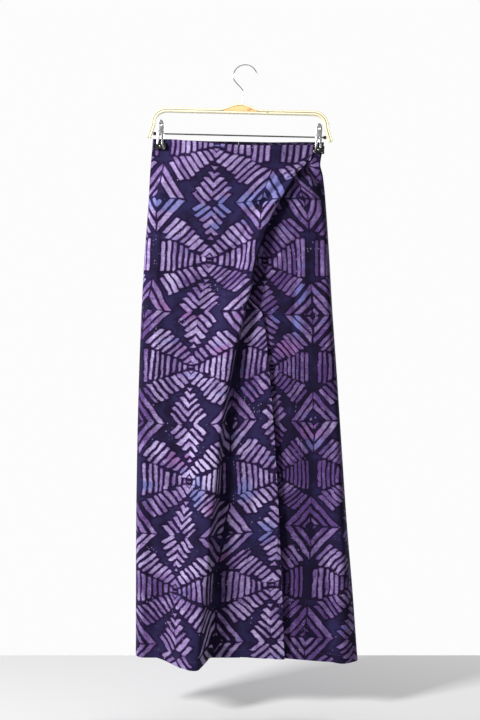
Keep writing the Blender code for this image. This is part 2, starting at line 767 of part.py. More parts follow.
def make_hanger():
    """All of the hanger, hung from a tilted empty at the hook's inside top."""
    offset = (BOW_STRIP + SEAM) / 2
    pieces = [make_strip("bow_outer_strip", offset, True), make_strip("bow_inner_strip", -offset, False)]
    pieces += [make_wedge(), make_hook()] + make_bar()
    for name, place in CLIP_PLACES.items():
        pieces += make_clip(name, place)
    frame = bpy.data.objects.new("hanger_frame", None)
    bpy.context.collection.objects.link(frame)
    frame.matrix_world = Matrix.Rotation(TILT, 4, "Y")
    for piece in pieces:
        piece.parent = frame


def main():
    clear_scene()
    make_wrap()
    for outer in ("left", "right"):
        for side in (-1, 1):
            make_leg(outer, side)
    make_hanger()
    bpy.context.view_layer.update()


main()
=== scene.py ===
"""Batik wrap pants on a bentwood clip hanger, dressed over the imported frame.

Lengths are written in millimetres and turned to metres when a mesh is made. The front faces -Y, +X is the right
hand side of someone looking at the front, and the origin is the inside top of the hanger's hook. The cloth is
worked out in horizontal sections. A section's drop is its distance below the waist line.
"""
import math
from functools import partial, partialmethod

import bmesh
import bpy
import numpy as np
from bpy.props import FloatProperty, FloatVectorProperty, IntProperty, PointerProperty
from mathutils import Matrix, Vector


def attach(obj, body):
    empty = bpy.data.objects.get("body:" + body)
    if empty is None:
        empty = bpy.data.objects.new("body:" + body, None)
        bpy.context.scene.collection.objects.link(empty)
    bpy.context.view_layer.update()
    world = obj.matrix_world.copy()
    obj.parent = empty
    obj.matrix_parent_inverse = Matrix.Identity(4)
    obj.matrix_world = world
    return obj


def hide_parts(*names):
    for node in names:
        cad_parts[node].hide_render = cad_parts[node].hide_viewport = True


bl_info = {
    "name": "Batik Wrap Pants",
    "version": (1, 0, 0),
    "blender": (4, 5, 0),
    "location": "3D View > Sidebar > Wrap Pants",
    "description": "Builds batik cotton wrap pants that hang from a bentwood hanger with two clips",
    "category": "Add Mesh",
}

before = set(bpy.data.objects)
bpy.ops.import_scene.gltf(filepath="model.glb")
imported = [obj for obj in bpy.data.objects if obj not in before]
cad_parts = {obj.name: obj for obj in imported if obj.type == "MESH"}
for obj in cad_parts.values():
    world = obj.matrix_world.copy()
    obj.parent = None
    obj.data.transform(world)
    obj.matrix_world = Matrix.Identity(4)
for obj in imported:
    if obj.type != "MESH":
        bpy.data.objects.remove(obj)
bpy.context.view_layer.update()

MM = 0.001

# Cloth, with the same form as the frame's solids
WALL = 1.2
SEAM = 0.4
STACK = WALL + SEAM
LENGTH = 1053.0
WAIST_Z = -153.5
WAIST_SLOPE = -0.0175
WAIST_MIDDLE = -14.0
HEM_MIDDLE = 2.5
RISE = 290.0
CROTCH_CURVE = 42.0
INSEAM_GAP = 5.0
SIDE_ROUND = 18.0
INSEAM_ROUND = 14.0
PINCH_X = 126.0
PINCH_DROP = 42.0
PRESSED_TO = 88.0
OPEN_OVER = 60.0
CLIP_CLEAR = 28.0
CLIP_RISE = 84.0
LOOSE_RISE = 34.0
LOOSE_FROM = 18.0
LOOSE_OVER = 70.0
LAYER_EASE = 1.2
EASE_ACROSS = 24.0
EASE_ACROSS_OVER = 20.0
EASE_DROP = 28.0
EASE_DROP_OVER = 26.0
WAIST_REACH = 260.0
LEGS_PART_OVER = 160.0
TUCK = 1.6
TUCK_REACH = 120.0
HEM_FROM = 900.0
LEG_HEM_LIFT = 4.0
WRAP_HEM_LIFT = 6.0
RIGHT_HEM_DROOP = 9.0
RIGHT_DROOP_FROM = 40.0
RIGHT_DROOP_OVER = 150.0
FOLD_HEM_DROOP = 0.28
FOLD_HEM_OUT = 50.0
FOLD_HEM_POWER = 0.7
# How deep the hem, the waist and the free edge are turned in, and where their stitches run
HEM_DEEP = 18.0
HEM_STEP = 0.6
HEM_RAISED = 0.35
WAIST_DEEP = 8.0
EDGE_DEEP = 8.0
STITCH_IN = 2.0
STITCH_PROUD = 0.10
STITCH_SKIP = 3
STITCH_PITCH = 1.28
STITCH_THICK = 0.00042

# Drop, left and right side seam, and how far the belly and the seat stand from the middle plane
SECTIONS = [
    (0, -188.7, 160.1, 14, 9), (22, -190.4, 155.5, 15, 10), (44, -192.2, 152.5, 16, 11), (69, -194.2, 158, 17, 12),
    (125, -197.5, 163.6, 18, 13), (223, -205, 170.3, 19, 15), (333, -211.5, 176.5, 19, 16),
    (480, -217.3, 186.7, 18, 16), (627, -221, 196.4, 18, 15), (774, -223, 206.4, 18, 15),
    (920, -223.6, 218.6, 19, 15), (LENGTH, -223.6, 228.5, 20, 15),
]
# How the front of the waist sags between the clips: across and fall
SAGS = [(-189, 0), (-160, 0), (-85, 7.5), (-20, 12), (32, 12.5), (91, 9), (136, 6.5), (161, 2)]
# The wrap's big fold: drop, crest, height, reach to the left, degrees turned over, radius and free edge
FOLDS = [
    (0, 138, 0, 30, 0, 2, 144), (19, 130.5, 0.6, 30, 10, 2, 136), (42, 119, 5.2, 34, 130, 1.8, 122),
    (60, 102, 7.4, 38, 150, 2.3, 107), (84, 88, 9.6, 42, 155, 2.9, 95), (109, 72, 11.6, 50, 155, 3.3, 80),
    (127, 61.8, 12.4, 54, 155, 3.6, 70), (147, 51.4, 13.2, 58, 155, 3.8, 60), (178, 39.5, 14.8, 66, 155, 4.2, 49),
    (224, 23.6, 17, 76, 152, 4.6, 34), (264, 13.6, 18.6, 82, 146, 4.9, 25), (294, 8.8, 19.6, 86, 128, 5.2, 22),
    (325, 0.8, 20.2, 90, 100, 5.4, 28), (366, -9.6, 20.8, 94, 82, 5.4, 37), (417, -23, 21.4, 98, 76, 5.4, 43),
    (529, -45, 23, 100, 72, 6, 52.6), (631, -58, 26, 100, 70, 6.6, 60), (774, -73, 32, 100, 68, 7.6, 67.6),
    (896, -83.5, 40, 95, 66, 8.6, 72.6), (972, -93.5, 45, 91, 66, 9.2, 75.4), (LENGTH, -101, 50, 87, 66, 10, 78.6),
]
# How far the free edge is lifted off the leg: drop and lift
EDGE_LIFTS = [(0, 0), (300, 0), (430, 3), (560, 6.5), (700, 8.5), (900, 9), (1000, 7.5), (LENGTH, 6)]
CREASED = 110.0
CREASED_OVER = 28.0
ROLL_SHARE = 0.28
LEAST_TURN = 0.3
LEAST_FALL = 1.5
EDGE_TAIL = 2.5
LEAST_SINE = 0.2
TAIL_OVER = 6.0
EDGE_LIFT_FROM = 0.35
EDGE_LIFT_OVER = 0.65
FOLD_CLEAR = 0.2
# Columns of faces: round the side seam, on to the crest and how they crowd towards it, over the fold in four
# stretches, and round a leg's seams
WRAP_SIDE = 9
WRAP_ACROSS = 96
WRAP_GATHER = 1.2
WRAP_OVER = (14, 9, 8, 44)
LEG_SIDE = 8
# The shallow valley beside a crest that is rolled over, as shares of the fold's height and reach
VALLEY = 0.38
VALLEY_PLACE = 0.46
VALLEY_HALF = 0.34
ROLLED_FROM = 108.0
ROLLED_OVER = 36.0

# Pinched pleats that leave the right clip: degrees below level, height, width, start and length
PLEATS = [(7, 4, 5.5, 5, 74), (19, 5.6, 6, 5, 112), (32, 5.6, 6, 6, 104)]
PLEAT_RISE = 12.0
PLEAT_FADE_FROM = 24.0
PLEATS_FROM = 20
PLEATS_OVER = 14

# Long soft folds: from across and drop, to across and drop, height and width
RIDGE_FADE = 0.3
WRAP_RIDGES = [
    (72, 98, -32, 236, 5, 20), (-64, 286, -134, 378, 4, 19), (-172, 120, -188, 640, 3, 18),
    (-150, 560, -176, 860, 4, 22), (30, 600, 46, 1500, 4.5, 28),
]
RIGHT_FRONT_RIDGES = [
    (118, 150, 116, 420, 2.6, 17), (164, 140, 170, 470, 1.8, 10), (128, 430, 150, 980, -3.5, 27),
    (188, 560, 202, 1500, 12, 28),
]
LEFT_FRONT_RIDGES = [(-90, 420, -96, 1053, 2, 40)]
BACK_RIDGES = [
    (-150, 40, -60, 300, 4, 26), (122, 40, 44, 280, 4.5, 24), (-166, 240, -188, 1500, 8, 27),
    (-104, 330, -122, 1500, 6, 30), (-50, 430, -40, 1500, 9, 25), (58, 400, 52, 1500, 7, 26),
    (126, 300, 146, 1500, 9, 29),
]

# Fine creases of the cloth alone, in the same columns; a trough has a negative height
WRAP_CREASES = [
    (108, 52, 2, 156, -3.6, 8), (96, 44, -20, 150, 2.6, 9), (84, 44, -6, 120, -2, 7), (118, 34, 84, 50, -1.8, 4.5),
    (72, 88, 6, 170, 2, 8), (24, 150, -50, 262, -3.6, 10), (44, 160, -2, 250, 2.2, 8), (-176, 22, -158, 96, 1.6, 6),
    (-163, 20, -150, 150, -1.3, 8), (-150, 24, -118, 120, 1.1, 9), (-182, 30, -186, 140, 1, 6),
    (-168, 150, -174, 330, -1.6, 9), (-120, 210, -96, 330, 1.2, 14), (-40, 150, -96, 250, -1.6, 13),
    (10, 120, -60, 214, 1.5, 12), (20, 190, -40, 290, -1.8, 14), (-20, 270, -60, 420, 1.4, 16),
    (-92, 330, -112, 560, 1.2, 17), (-140, 400, -150, 560, -1.4, 15), (-196, 420, -204, 700, 1.2, 9),
    (-60, 480, -86, 700, -1, 16), (-186, 700, -196, 960, -1.5, 11), (-128, 740, -150, 1053, 1.4, 17),
    (-206, 860, -210, 1100, 1.5, 9), (-110, 860, -126, 1120, -1.5, 13), (60, 30, 104, 74, -1, 8),
    (20, 34, 88, 92, 1, 10), (-60, 20, -30, 110, 0.9, 16), (6, 16, 0, 90, -0.8, 14),
]
# Creases of the flat strip between the big fold and the free edge
STRIP_CREASES = [
    (46, 420, 40, 640, 1.5, 12), (10, 520, 22, 800, -1.2, 14), (64, 700, 58, 940, 1.6, 10),
    (0, 760, -8, 1053, 1.4, 15), (40, 860, 52, 1120, -1.6, 12), (-34, 900, -40, 1100, -1.3, 12),
]
RIGHT_FRONT_CREASES = [
    (136, 62, 152, 120, 1.5, 5), (128, 66, 130, 150, -1.2, 7), (118, 90, 96, 190, 1.6, 9),
    (146, 120, 150, 300, -1.5, 8), (86, 180, 60, 290, 1.4, 10), (104, 260, 92, 470, -1.7, 10),
    (156, 330, 160, 600, 1.3, 9), (84, 420, 96, 640, 1.5, 11), (172, 480, 176, 760, -2, 11),
    (112, 620, 116, 860, -1.4, 12), (160, 760, 170, 1053, -2.2, 12), (104, 820, 100, 1100, 1.5, 10),
    (212, 820, 216, 1100, -1.2, 8),
]
LEFT_FRONT_CREASES = [(-120, 300, -130, 700, 0.8, 16), (-60, 500, -66, 1053, -0.8, 15)]
# Creases that spread to the right from the pinch, and how they fade in: away from the crest, from the side seam and
# below the waist, each with where it starts and over how much
PINCH_FADES = [(3, 5), (0, 4), (26, 7)]
PINCH_LOWEST = -0.5
PINCH_CREASES = [
    (127, 40, 158, 18, 3.6, 5), (129, 43, 160, 34, -2.8, 4), (129, 46, 158, 62, 3, 5),
    (127, 48, 150, 80, -2.8, 4.5), (123, 50, 138, 92, 2.4, 5), (118, 54, 124, 104, -2.6, 5),
]
BACK_CREASES = [
    (-176, 20, -156, 110, 1.4, 7), (-160, 18, -128, 130, -1.2, 9), (148, 24, 132, 110, 1.4, 7),
    (134, 20, 104, 130, -1.2, 9), (-20, 60, -26, 200, -1.5, 12), (-14, 200, -90, 300, 1.6, 12),
    (-6, 210, 60, 300, 1.6, 12), (-130, 360, -146, 620, -1.8, 12), (-80, 420, -76, 760, -1.5, 13),
    (90, 380, 96, 700, -1.8, 12), (166, 300, 178, 640, 1.4, 9), (-204, 560, -208, 900, -1.4, 8),
    (24, 640, 22, 1100, -1.6, 9), (-24, 620, -22, 1100, -1.5, 9), (-150, 720, -158, 1100, 1.6, 11),
    (100, 760, 92, 1100, 1.6, 12), (186, 760, 196, 1100, -1.8, 10),
]

# Where the print lies on each panel: drop, across of its reference column, its row there, and the width of a
# repeat left and right of that column
WRAP_PRINT = [
    (0, -57, 0.484, 218, 233, 0), (19, -58.5, 0.562, 218, 233, 0), (127.2, -68.6, 1, 218, 208, 0),
    (244.1, -72.5, 1.5, 218, 214, 0), (352, -97, 2, 218, 214, 0), (462.2, -109.1, 2.5, 218, 208, 0),
    (578, -115, 3, 218, 204, 0), (692.7, -112, 3.5, 218, 208, 0.02), (804, -131, 4, 218, 220, 0.055),
    (911, -141.5, 4.5, 218, 224, 0.02), (1030, -139, 5, 218, 224, 0), (1053.2, -139, 5.1, 218, 224, 0),
]
RIGHT_FRONT_PRINT = [
    (0, 108, 10.38, 190, 190), (71, 108.5, 10.72, 150, 140), (116, 118, 11, 150, 140), (150, 124, 11.13, 180, 190),
    (181, 127, 11.28, 200, 214), (247.6, 129, 11.5, 180, 214), (355.5, 134, 12, 208, 214),
    (463, 136, 12.5, 166, 200), (571.7, 136.5, 13, 172, 214), (680, 136, 13.5, 150, 180), (784, 131, 14, 205, 233),
    (898, 126, 14.5, 188, 214), (1005, 120.7, 15, 190, 214), (1060, 118, 15.26, 185, 214),
]
# Near the pinch the right front's print fans out from it. Across it runs from a start by a share of each radian,
# and down from a row by one repeat in each reach. Then how far out the fan fades, and by how much and below which
# angle its row moves on to plain ground
FAN_TURN = 0.6566
FAN_SPREAD = 0.082
FAN_ROW = 10.44
FAN_REACH = 190.0
FAN_FADE = (46.0, 16.0)
FAN_HIDE = 0.22
FAN_SHOWS = (0.55, 0.3)
# The wrap's print is bent, squeezed right of the middle at the waist, and pulled down beside the pinch
WRAP_PRINT_LIFT = 0.06
BEND_AT = 0.22
BEND_WIDE = 0.30
SQUEEZE = 0.17
SQUEEZE_TO = (34, 50)
PULL = 0.055
PULL_PLACE = (-24.0, -10.0)
PULL_SIZE = (42.0, 26.0)
REPEAT = (218.0, 226.0)
REVERSE = 100.0
LEFT_FRONT_PRINT = [(0, -120, 20.2, 218, 218), (1060, -120, 24.9, 218, 218)]
LEFT_BACK_PRINT = [(0, -112, 30.34, 218, 218), (1060, -116, 35.03, 218, 218)]
RIGHT_BACK_PRINT = [(0, 90, 40.62, 218, 218), (1060, 112, 45.31, 218, 218)]

# The map of the wood's grain runs one unit in 100 mm; a tube's soft end stands out by this share of its inset
GRAIN_SCALE = 0.01
CAP_REACH = 0.6
WIRE_SIDES = 18
# Degrees past which an edge is sharp, on plain pieces and on cloth, pads and jaws
SHARP = 40.0
SHARP_SOFT = 50.0
JOINED_WITHIN = 1e-6

# Hanger, in its own upright frame; it hangs tilted about its hook
TILT = Matrix.Rotation(math.radians(1.33), 4, "Y")
BOW_MIDDLE = -8.4
BOW_TOP = -90.0
BOW_STRIP = 4.3
BOW_DEPTH = 12.0
BOW_CORNER_X = 149.5
BOW_CORNER_RADIUS = 27.5
BOW_EDGE = 0.9
BOW_FLAT_X = 95.0
# How finely the hanger's lines are drawn, as counts of points, or of steps on the bow's corner and the hook's bend
# and circle: the bow's foot, corner, flat top and hump, the wedge, the hook's stem, bend and circle, and the bar
BOW_STEPS = (12, 16, 6, 31)
WEDGE_STEPS = 33
HOOK_STEPS = (8, 22, 48)
BAR_STEPS = 30
HUMP_HEIGHT = 11.6
HUMP_REACH = 45.0
WEDGE_DEPTH = 10.6
WEDGE_SHARE = 0.76
WEDGE_SOFT = 0.25
HOOK_WIRE = 1.3
HOOK_RADIUS = 24.5
HOOK_STEM_X = -5.0
HOOK_NECK = (-3.4, -56.0)
NECK_PULL = (0.5, 11.0)
CIRCLE_PULL = (0.0, 13.0)
HOOK_SWEEP = 169.6
BAR_Z = -143.2
BAR_RADIUS = 1.5
BAR_HALF = 176.4
BAR_END_RADIUS = 3.3
BAR_END_LENGTH = 5.6
BAR_END_EDGE = 0.5
BAR_END_SOFT = 0.15
CLIP_PLACES = {"left": -161.6, "right": 160.8}
CLIP_SHEET = 1.2
SHEET_EDGE = 0.25
SPRING_RADIUS = 3.4
SPRING_LENGTH = 11.0
SPRING_WIRE = 0.68
PAD_WIDTH = 24.0
PAD_TOP = -18.0
PAD_HEIGHT = 15.0
PAD_THICK = 3.2
# The rubber boot over a jaw's legs: its top and wall, how much narrower than the pad it is, and how far up and in
# it starts
BOOT_TOP = -23.0
BOOT_THICK = 0.8
BOOT_NARROWER = 1.0
BOOT_UP = 0.3
BOOT_IN = 0.4
PAD_EDGE = 1.0
SEAT = 0.35
FRONT_FACE = SEAM / 2 + WALL + STACK + SEAT
BACK_FACE = SEAM / 2 + WALL + SEAT
FEET = [(-151.5, 8.6), (-142.5, 5.6), (-133, 2.6), (-126, 0.6)]
# A clip's sheet jaw: height above the bar, half width, half slot and how far it stands out from there
JAWS = [
    (-33, 9.6, 4.6, 3.1), (-29, 8.4, 3.6, 3.1), (-24, 7.2, 2.6, 3.1), (-15, 6.7, 2.3, 3.1), (-7, 6.5, 2.2, 1.1),
    (0, 6.5, 2.2, 0), (8, 6.6, 1, 1.6), (13, 6.7, 0.8, 2.4), (14.2, 6.7, 1.9, 2.6), (17.5, 6.6, 2.9, 3),
    (20.8, 6.2, 1.9, 3.5), (22, 5.8, 0.8, 3.7), (24.5, 4.4, 0.8, 4), (26.2, 2.7, 0.6, 4.15), (27, 1.2, 0.4, 4.2),
]
# Its rows of faces below and above the bar, and how its middle is crowned
JAW_ROWS = (25, 31)
JAW_CROWN = 1.1
JAW_CROWN_FROM = -24.0
JAW_CROWN_OVER = 12.0
JAW_CROWN_HALF = 6.5
JAW_HOLE = (13.9, 20.4)
# A clip's bent toe over the rubber: out from the clip's middle, and height above the bar
TOE = [(4.9, -20.5), (5.5, -23.5), (6.5, -26.5), (8, -29.6), (9.8, -32.2)]
# The toe's half width, half thickness and edge, and how far it stands off the rubber
TOE_SIZE = (1.5, 0.45, 0.3)
TOE_OUT = 0.3
# A rivet's head: how far it stands off the rubber, and its radius
RIVET = [(-0.3, 0.0), (-0.3, 1.7), (0.3, 1.7), (0.75, 1.3), (1.0, 0.6), (1.05, 0.0)]
RIVET_DOWN = 8.5


def smooth(value):
    """Ease from 0 to 1."""
    value = np.clip(value, 0.0, 1.0)
    return value * value * (3 - 2 * value)


def mix(start, end, share):
    return start + (end - start) * share


def bump(distance):
    """1 at no distance, easing to 0 at a distance of 1."""
    return np.cos(0.5 * np.pi * np.clip(np.abs(distance), 0.0, 1.0)) ** 2


class Curve:
    """A table's column, read on a smooth curve through its rows that never overshoots them."""

    def __init__(self, rows, column=1):
        self.knots = np.array([row[0] for row in rows], float)
        self.values = np.array([row[column] for row in rows], float)
        steps = np.diff(self.values) / np.diff(self.knots)
        before, after = steps[:-1], steps[1:]
        alike = before * after > 0
        inner = np.where(alike, 2 * before * after / np.where(alike, before + after, 1), 0)
        self.slopes = np.concatenate([steps[:1], inner, steps[-1:]])

    def __call__(self, place):
        place = np.clip(place, self.knots[0], self.knots[-1])
        i = np.minimum(np.searchsorted(self.knots, place, side="right"), len(self.knots) - 1)
        width = self.knots[i] - self.knots[i - 1]
        t = (place - self.knots[i - 1]) / width
        return (
            self.values[i - 1] * (1 + 2 * t) * (1 - t) ** 2 + self.values[i] * t * t * (3 - 2 * t)
            + self.slopes[i - 1] * width * t * (1 - t) ** 2 - self.slopes[i] * width * t * t * (1 - t)
        )


LEFT, RIGHT, BELLY, SEAT_OUT = (Curve(SECTIONS, column) for column in (1, 2, 3, 4))
WAIST_SAG = Curve(SAGS)
EDGE_LIFT = Curve(EDGE_LIFTS)
CREST, FOLD_HEIGHT, FOLD_REACH, FOLD_TURN, FOLD_RADIUS, FREE_EDGE = (Curve(FOLDS, k) for k in range(1, 7))


def opened(drop):
    """0 where the clips press the layers flat, 1 where the sides have come round."""
    return smooth((drop - PRESSED_TO) / OPEN_OVER)


def side_shape(distance, drop):
    """0 at a side seam, rising to 1 where a layer runs level."""
    loosened = smooth((drop - LOOSE_FROM) / LOOSE_OVER)
    start = mix(CLIP_CLEAR, 0, loosened)
    reach = mix(mix(CLIP_RISE, LOOSE_RISE, loosened), SIDE_ROUND, opened(drop))
    u = np.clip((distance - start) / reach, 0.0, 1.0)
    return mix(smooth(u), np.sqrt(1 - (1 - u) ** 2), opened(drop))


def both_sides(x, drop, inset=0.0):
    return np.minimum(side_shape(x - LEFT(drop) - inset, drop), side_shape(RIGHT(drop) - x, drop))


def pinched(x, drop):
    """The creases to the right of the pinch, which die away at the crest, the side seam and the clip."""
    clear = 1.0
    for distance, (start, over) in zip((x - CREST(drop), RIGHT(drop) - x, drop), PINCH_FADES):
        clear = clear * smooth((distance - start) / over)
    return clear * ridges(PINCH_CREASES, x, drop)


def leg_middle(drop):
    return mix(WAIST_MIDDLE, HEM_MIDDLE, drop / LENGTH)


def inner_gap(drop):
    """Half of the space between the two legs."""
    return SEAM / 2 + (INSEAM_GAP - SEAM / 2) * smooth((drop - RISE) / LEGS_PART_OVER)


def centre_share(x, drop):
    """1 away from the crotch, falling to 0 at the inner edge of each leg."""
    down = np.clip((drop - (RISE - CROTCH_CURVE)) / CROTCH_CURVE, 0.0, 1.0)
    kept = np.sqrt(1 - down**2)
    inwards = np.clip((np.abs(x - leg_middle(drop)) - inner_gap(drop)) / INSEAM_ROUND, 0.0, 1.0)
    return kept + (1 - kept) * np.sqrt(1 - (1 - inwards) ** 2)


def ridges(rows, x, drop):
    """Sum of the soft folds listed in a table, each fading at both of its ends."""
    total = 0.0
    for x0, drop0, x1, drop1, height, width in rows:
        along_x, along_drop = x1 - x0, drop1 - drop0
        length = math.hypot(along_x, along_drop)
        share = ((x - x0) * along_x + (drop - drop0) * along_drop) / length**2
        aside = ((x - x0) * along_drop - (drop - drop0) * along_x) / length
        fade = smooth(share / RIDGE_FADE) * smooth((1 - share) / RIDGE_FADE)
        total = total + height * fade * bump(aside / width)
    return total


def pleats(x, drop):
    """The pinched pleats that spread from the right clip."""
    left, down = PINCH_X - x, drop - PINCH_DROP
    away = np.hypot(left, down)
    slant = np.degrees(np.arctan2(down, left))
    total = 0.0
    for angle, height, width, start, length in PLEATS:
        fade = smooth((away - start) / PLEAT_RISE)
        fade = fade * (1 - smooth((away - PLEAT_FADE_FROM) / (length - PLEAT_FADE_FROM)))
        total = total + height * fade * bump((slant - angle) / width)
    return total


def waist_fall(x, drop, sag):
    """How far a point lies below the level of its section, from the waist's slope and sag."""
    tied = 1 - smooth(drop / WAIST_REACH)
    return -WAIST_SLOPE * (x - WAIST_MIDDLE) * tied + sag * WAIST_SAG(x) * tied


def leg_depth(x, drop, side, inset, creases):
    """How far a leg's front or back stands out from the middle plane."""
    shape = both_sides(x, drop, inset)
    flat = SEAM / 2 + (1 - opened(drop)) * WALL
    if side < 0:
        right = x > leg_middle(drop)
        folds = np.where(right, ridges(RIGHT_FRONT_RIDGES, x, drop), ridges(LEFT_FRONT_RIDGES, x, drop))
    else:
        folds = ridges(BACK_RIDGES, x, drop)
    stands_off = (BELLY if side < 0 else SEAT_OUT)(drop) + folds + ridges(creases, x, drop)
    extra = np.maximum(pinched(x, drop), PINCH_LOWEST) if creases is RIGHT_FRONT_CREASES else 0.0
    return flat + stands_off * shape * centre_share(x, drop) + extra


def wrap_depth(x, drop):
    """How far the wrap stands out where it lies on the legs' fronts."""
    come_round = opened(drop)
    nearer = np.minimum(x - LEFT(drop), RIGHT(drop) - x)
    spare = smooth((nearer - EASE_ACROSS) / EASE_ACROSS_OVER)
    loose = np.maximum(spare, smooth((drop - EASE_DROP) / EASE_DROP_OVER))
    flat = SEAM / 2 + (1 - come_round) * (WALL + STACK + loose)
    return flat + (BELLY(drop) + come_round * (STACK + LAYER_EASE)) * both_sides(x, drop)


def wrap_lift(x, drop):
    """How far the wrap's folds left of the crest stand off its lying place."""
    reach = FOLD_REACH(drop)
    rolled = VALLEY * smooth((FOLD_TURN(drop) - ROLLED_FROM) / ROLLED_OVER)
    valley = rolled * bump((CREST(drop) - x - VALLEY_PLACE * reach) / (VALLEY_HALF * reach))
    fold = FOLD_HEIGHT(drop) * (bump((CREST(drop) - x) / reach) - valley)
    small = ridges(WRAP_RIDGES, x, drop) + ridges(WRAP_CREASES, x, drop)
    return fold + small * both_sides(x, drop) + pleats(x, drop) * smooth((drop - PLEATS_FROM) / PLEATS_OVER)


def rounded_places(reach, count):
    """Distances in from a seam that follow a rounded side evenly."""
    return reach * (1 - np.cos(np.linspace(0, math.pi / 2, count)))


def wrap_row(drop):
    """The wrap's outer points at one drop, from the left seam over the crest and down to the free edge."""
    left, crest = float(LEFT(drop)), float(CREST(drop))
    start = left + SIDE_ROUND
    shares = (1 - np.arange(1, WRAP_ACROSS + 1) / WRAP_ACROSS) ** WRAP_GATHER
    across = np.concatenate([left + rounded_places(SIDE_ROUND, WRAP_SIDE), crest - (crest - start) * shares])
    deep = -(wrap_depth(across, drop) + wrap_lift(across, drop))
    over = turned_over(np.array([across[-1], deep[-1]]), drop)
    points = np.concatenate([np.column_stack([across, deep]), over])
    return np.column_stack([points, wrap_heights(points, drop)])


def turned_over(crest, drop):
    """The rest of the wrap's section: over the crest, down its far side and out to the free edge."""
    height, radius = float(FOLD_HEIGHT(drop)), float(FOLD_RADIUS(drop))
    turn = math.radians(float(FOLD_TURN(drop)))
    lands = float(smooth((CREASED - math.degrees(turn)) / CREASED_OVER))
    fall = (height - 2 * radius * (1 - math.cos(turn))) / max(math.sin(turn), LEAST_SINE)
    straight = mix(ROLL_SHARE * height, max(fall, LEAST_FALL), lands)
    heading, place, points = 0.0, crest, []

    def go(length, bend, count):
        nonlocal heading, place
        headings = heading + bend * (np.arange(count) + 0.5) / count
        steps = np.column_stack([np.cos(headings), np.sin(headings)]) * (length / count)
        path = place + np.cumsum(steps, axis=0)
        heading, place = heading + bend, path[-1]
        points.append(path)

    go(radius * max(turn, LEAST_TURN), turn, WRAP_OVER[0])
    go(straight, 0.0, WRAP_OVER[1])
    go(radius * max(turn * lands, LEAST_TURN), -turn * lands, WRAP_OVER[2])
    go(mix(EDGE_TAIL, max(float(FREE_EDGE(drop)) - place[0], EDGE_TAIL), lands), 0.0, WRAP_OVER[3])
    found = np.concatenate(points)
    lying = wrap_depth(found[:, 0], drop) + FOLD_CLEAR
    found[:, 1] = np.minimum(found[:, 1], -lying)
    past = np.arange(len(found)) - sum(WRAP_OVER[:3])
    found[:, 1] -= smooth(past / TAIL_OVER) * np.maximum(ridges(STRIP_CREASES, found[:, 0], drop), -LAYER_EASE)
    towards_edge = past / (WRAP_OVER[3] - 1)
    found[:, 1] -= float(EDGE_LIFT(drop)) * lands * smooth((towards_edge - EDGE_LIFT_FROM) / EDGE_LIFT_OVER)
    return found


def near_hem(drop):
    """0 down to the lower legs, 1 at the hem."""
    return smooth((drop - HEM_FROM) / (LENGTH - HEM_FROM))


def wrap_heights(points, drop):
    stands_off = np.maximum(0.0, -points[:, 1] - wrap_depth(points[:, 0], drop))
    droop = FOLD_HEM_DROOP * FOLD_HEM_OUT * (stands_off / FOLD_HEM_OUT) ** FOLD_HEM_POWER
    return WAIST_Z - drop - waist_fall(points[:, 0], drop, 1.0) + near_hem(drop) * (WRAP_HEM_LIFT - droop)


def leg_row(outer, side, columns, creases, drop):
    """A leg panel's outer points at one drop, with the outside on the right of their path."""
    inset = STACK if (outer == "left" and side < 0) else 0.0
    seam = float((LEFT if outer == "left" else RIGHT)(drop)) + inset
    inwards = 1 if outer == "left" else -1
    inner = leg_middle(drop) - inwards * inner_gap(drop)
    width = abs(inner - seam)
    from_side = rounded_places(SIDE_ROUND - inset, LEG_SIDE)
    from_inner = width - rounded_places(INSEAM_ROUND, LEG_SIDE)[::-1]
    level = np.linspace(from_side[-1], from_inner[0], columns + 2)[1:-1]
    x = seam + inwards * np.concatenate([from_side, level, from_inner])
    points = np.column_stack([x, side * leg_depth(x, drop, side, inset, creases)])
    points = points[::-1] if (outer == "left") != (side < 0) else points
    return np.column_stack([points, leg_heights(points, drop, outer, side)])


def leg_heights(points, drop, outer, side):
    front = side < 0
    tuck = TUCK * (1 - smooth(drop / TUCK_REACH)) if front and outer == "left" else 0.0
    droop = RIGHT_HEM_DROOP * smooth((points[:, 0] - RIGHT_DROOP_FROM) / RIGHT_DROOP_OVER)
    lift = (LEG_HEM_LIFT - droop) * near_hem(drop)
    return WAIST_Z - drop - waist_fall(points[:, 0], drop, 1.0 if front else 0.0) - tuck + lift


def cloth_drops(count):
    """Even drops down the cloth, with a close pair of them at the edge of each turned hem."""
    drops = np.linspace(0.0, LENGTH, count)
    close = np.concatenate([[edge - HEM_STEP, edge + HEM_STEP] for edge in (WAIST_DEEP, LENGTH - HEM_DEEP)])
    kept = drops[np.min(np.abs(drops[:, None] - close[None, :]), axis=1) > 2 * HEM_STEP]
    return np.sort(np.concatenate([kept, close]))


def grid_normals(grid):
    """Outward directions over a grid of points whose rows run down and whose outside is on their right."""
    down = np.gradient(grid, axis=0)
    across = np.gradient(grid, axis=1)
    normals = np.cross(down, across)
    return normals / np.maximum(np.linalg.norm(normals, axis=2, keepdims=True), 1e-9)


def arcs(grid):
    """Distance along each row from its first point."""
    steps = np.linalg.norm(np.diff(grid, axis=1), axis=2)
    return np.concatenate([np.zeros((len(grid), 1)), np.cumsum(steps, axis=1)], axis=1)


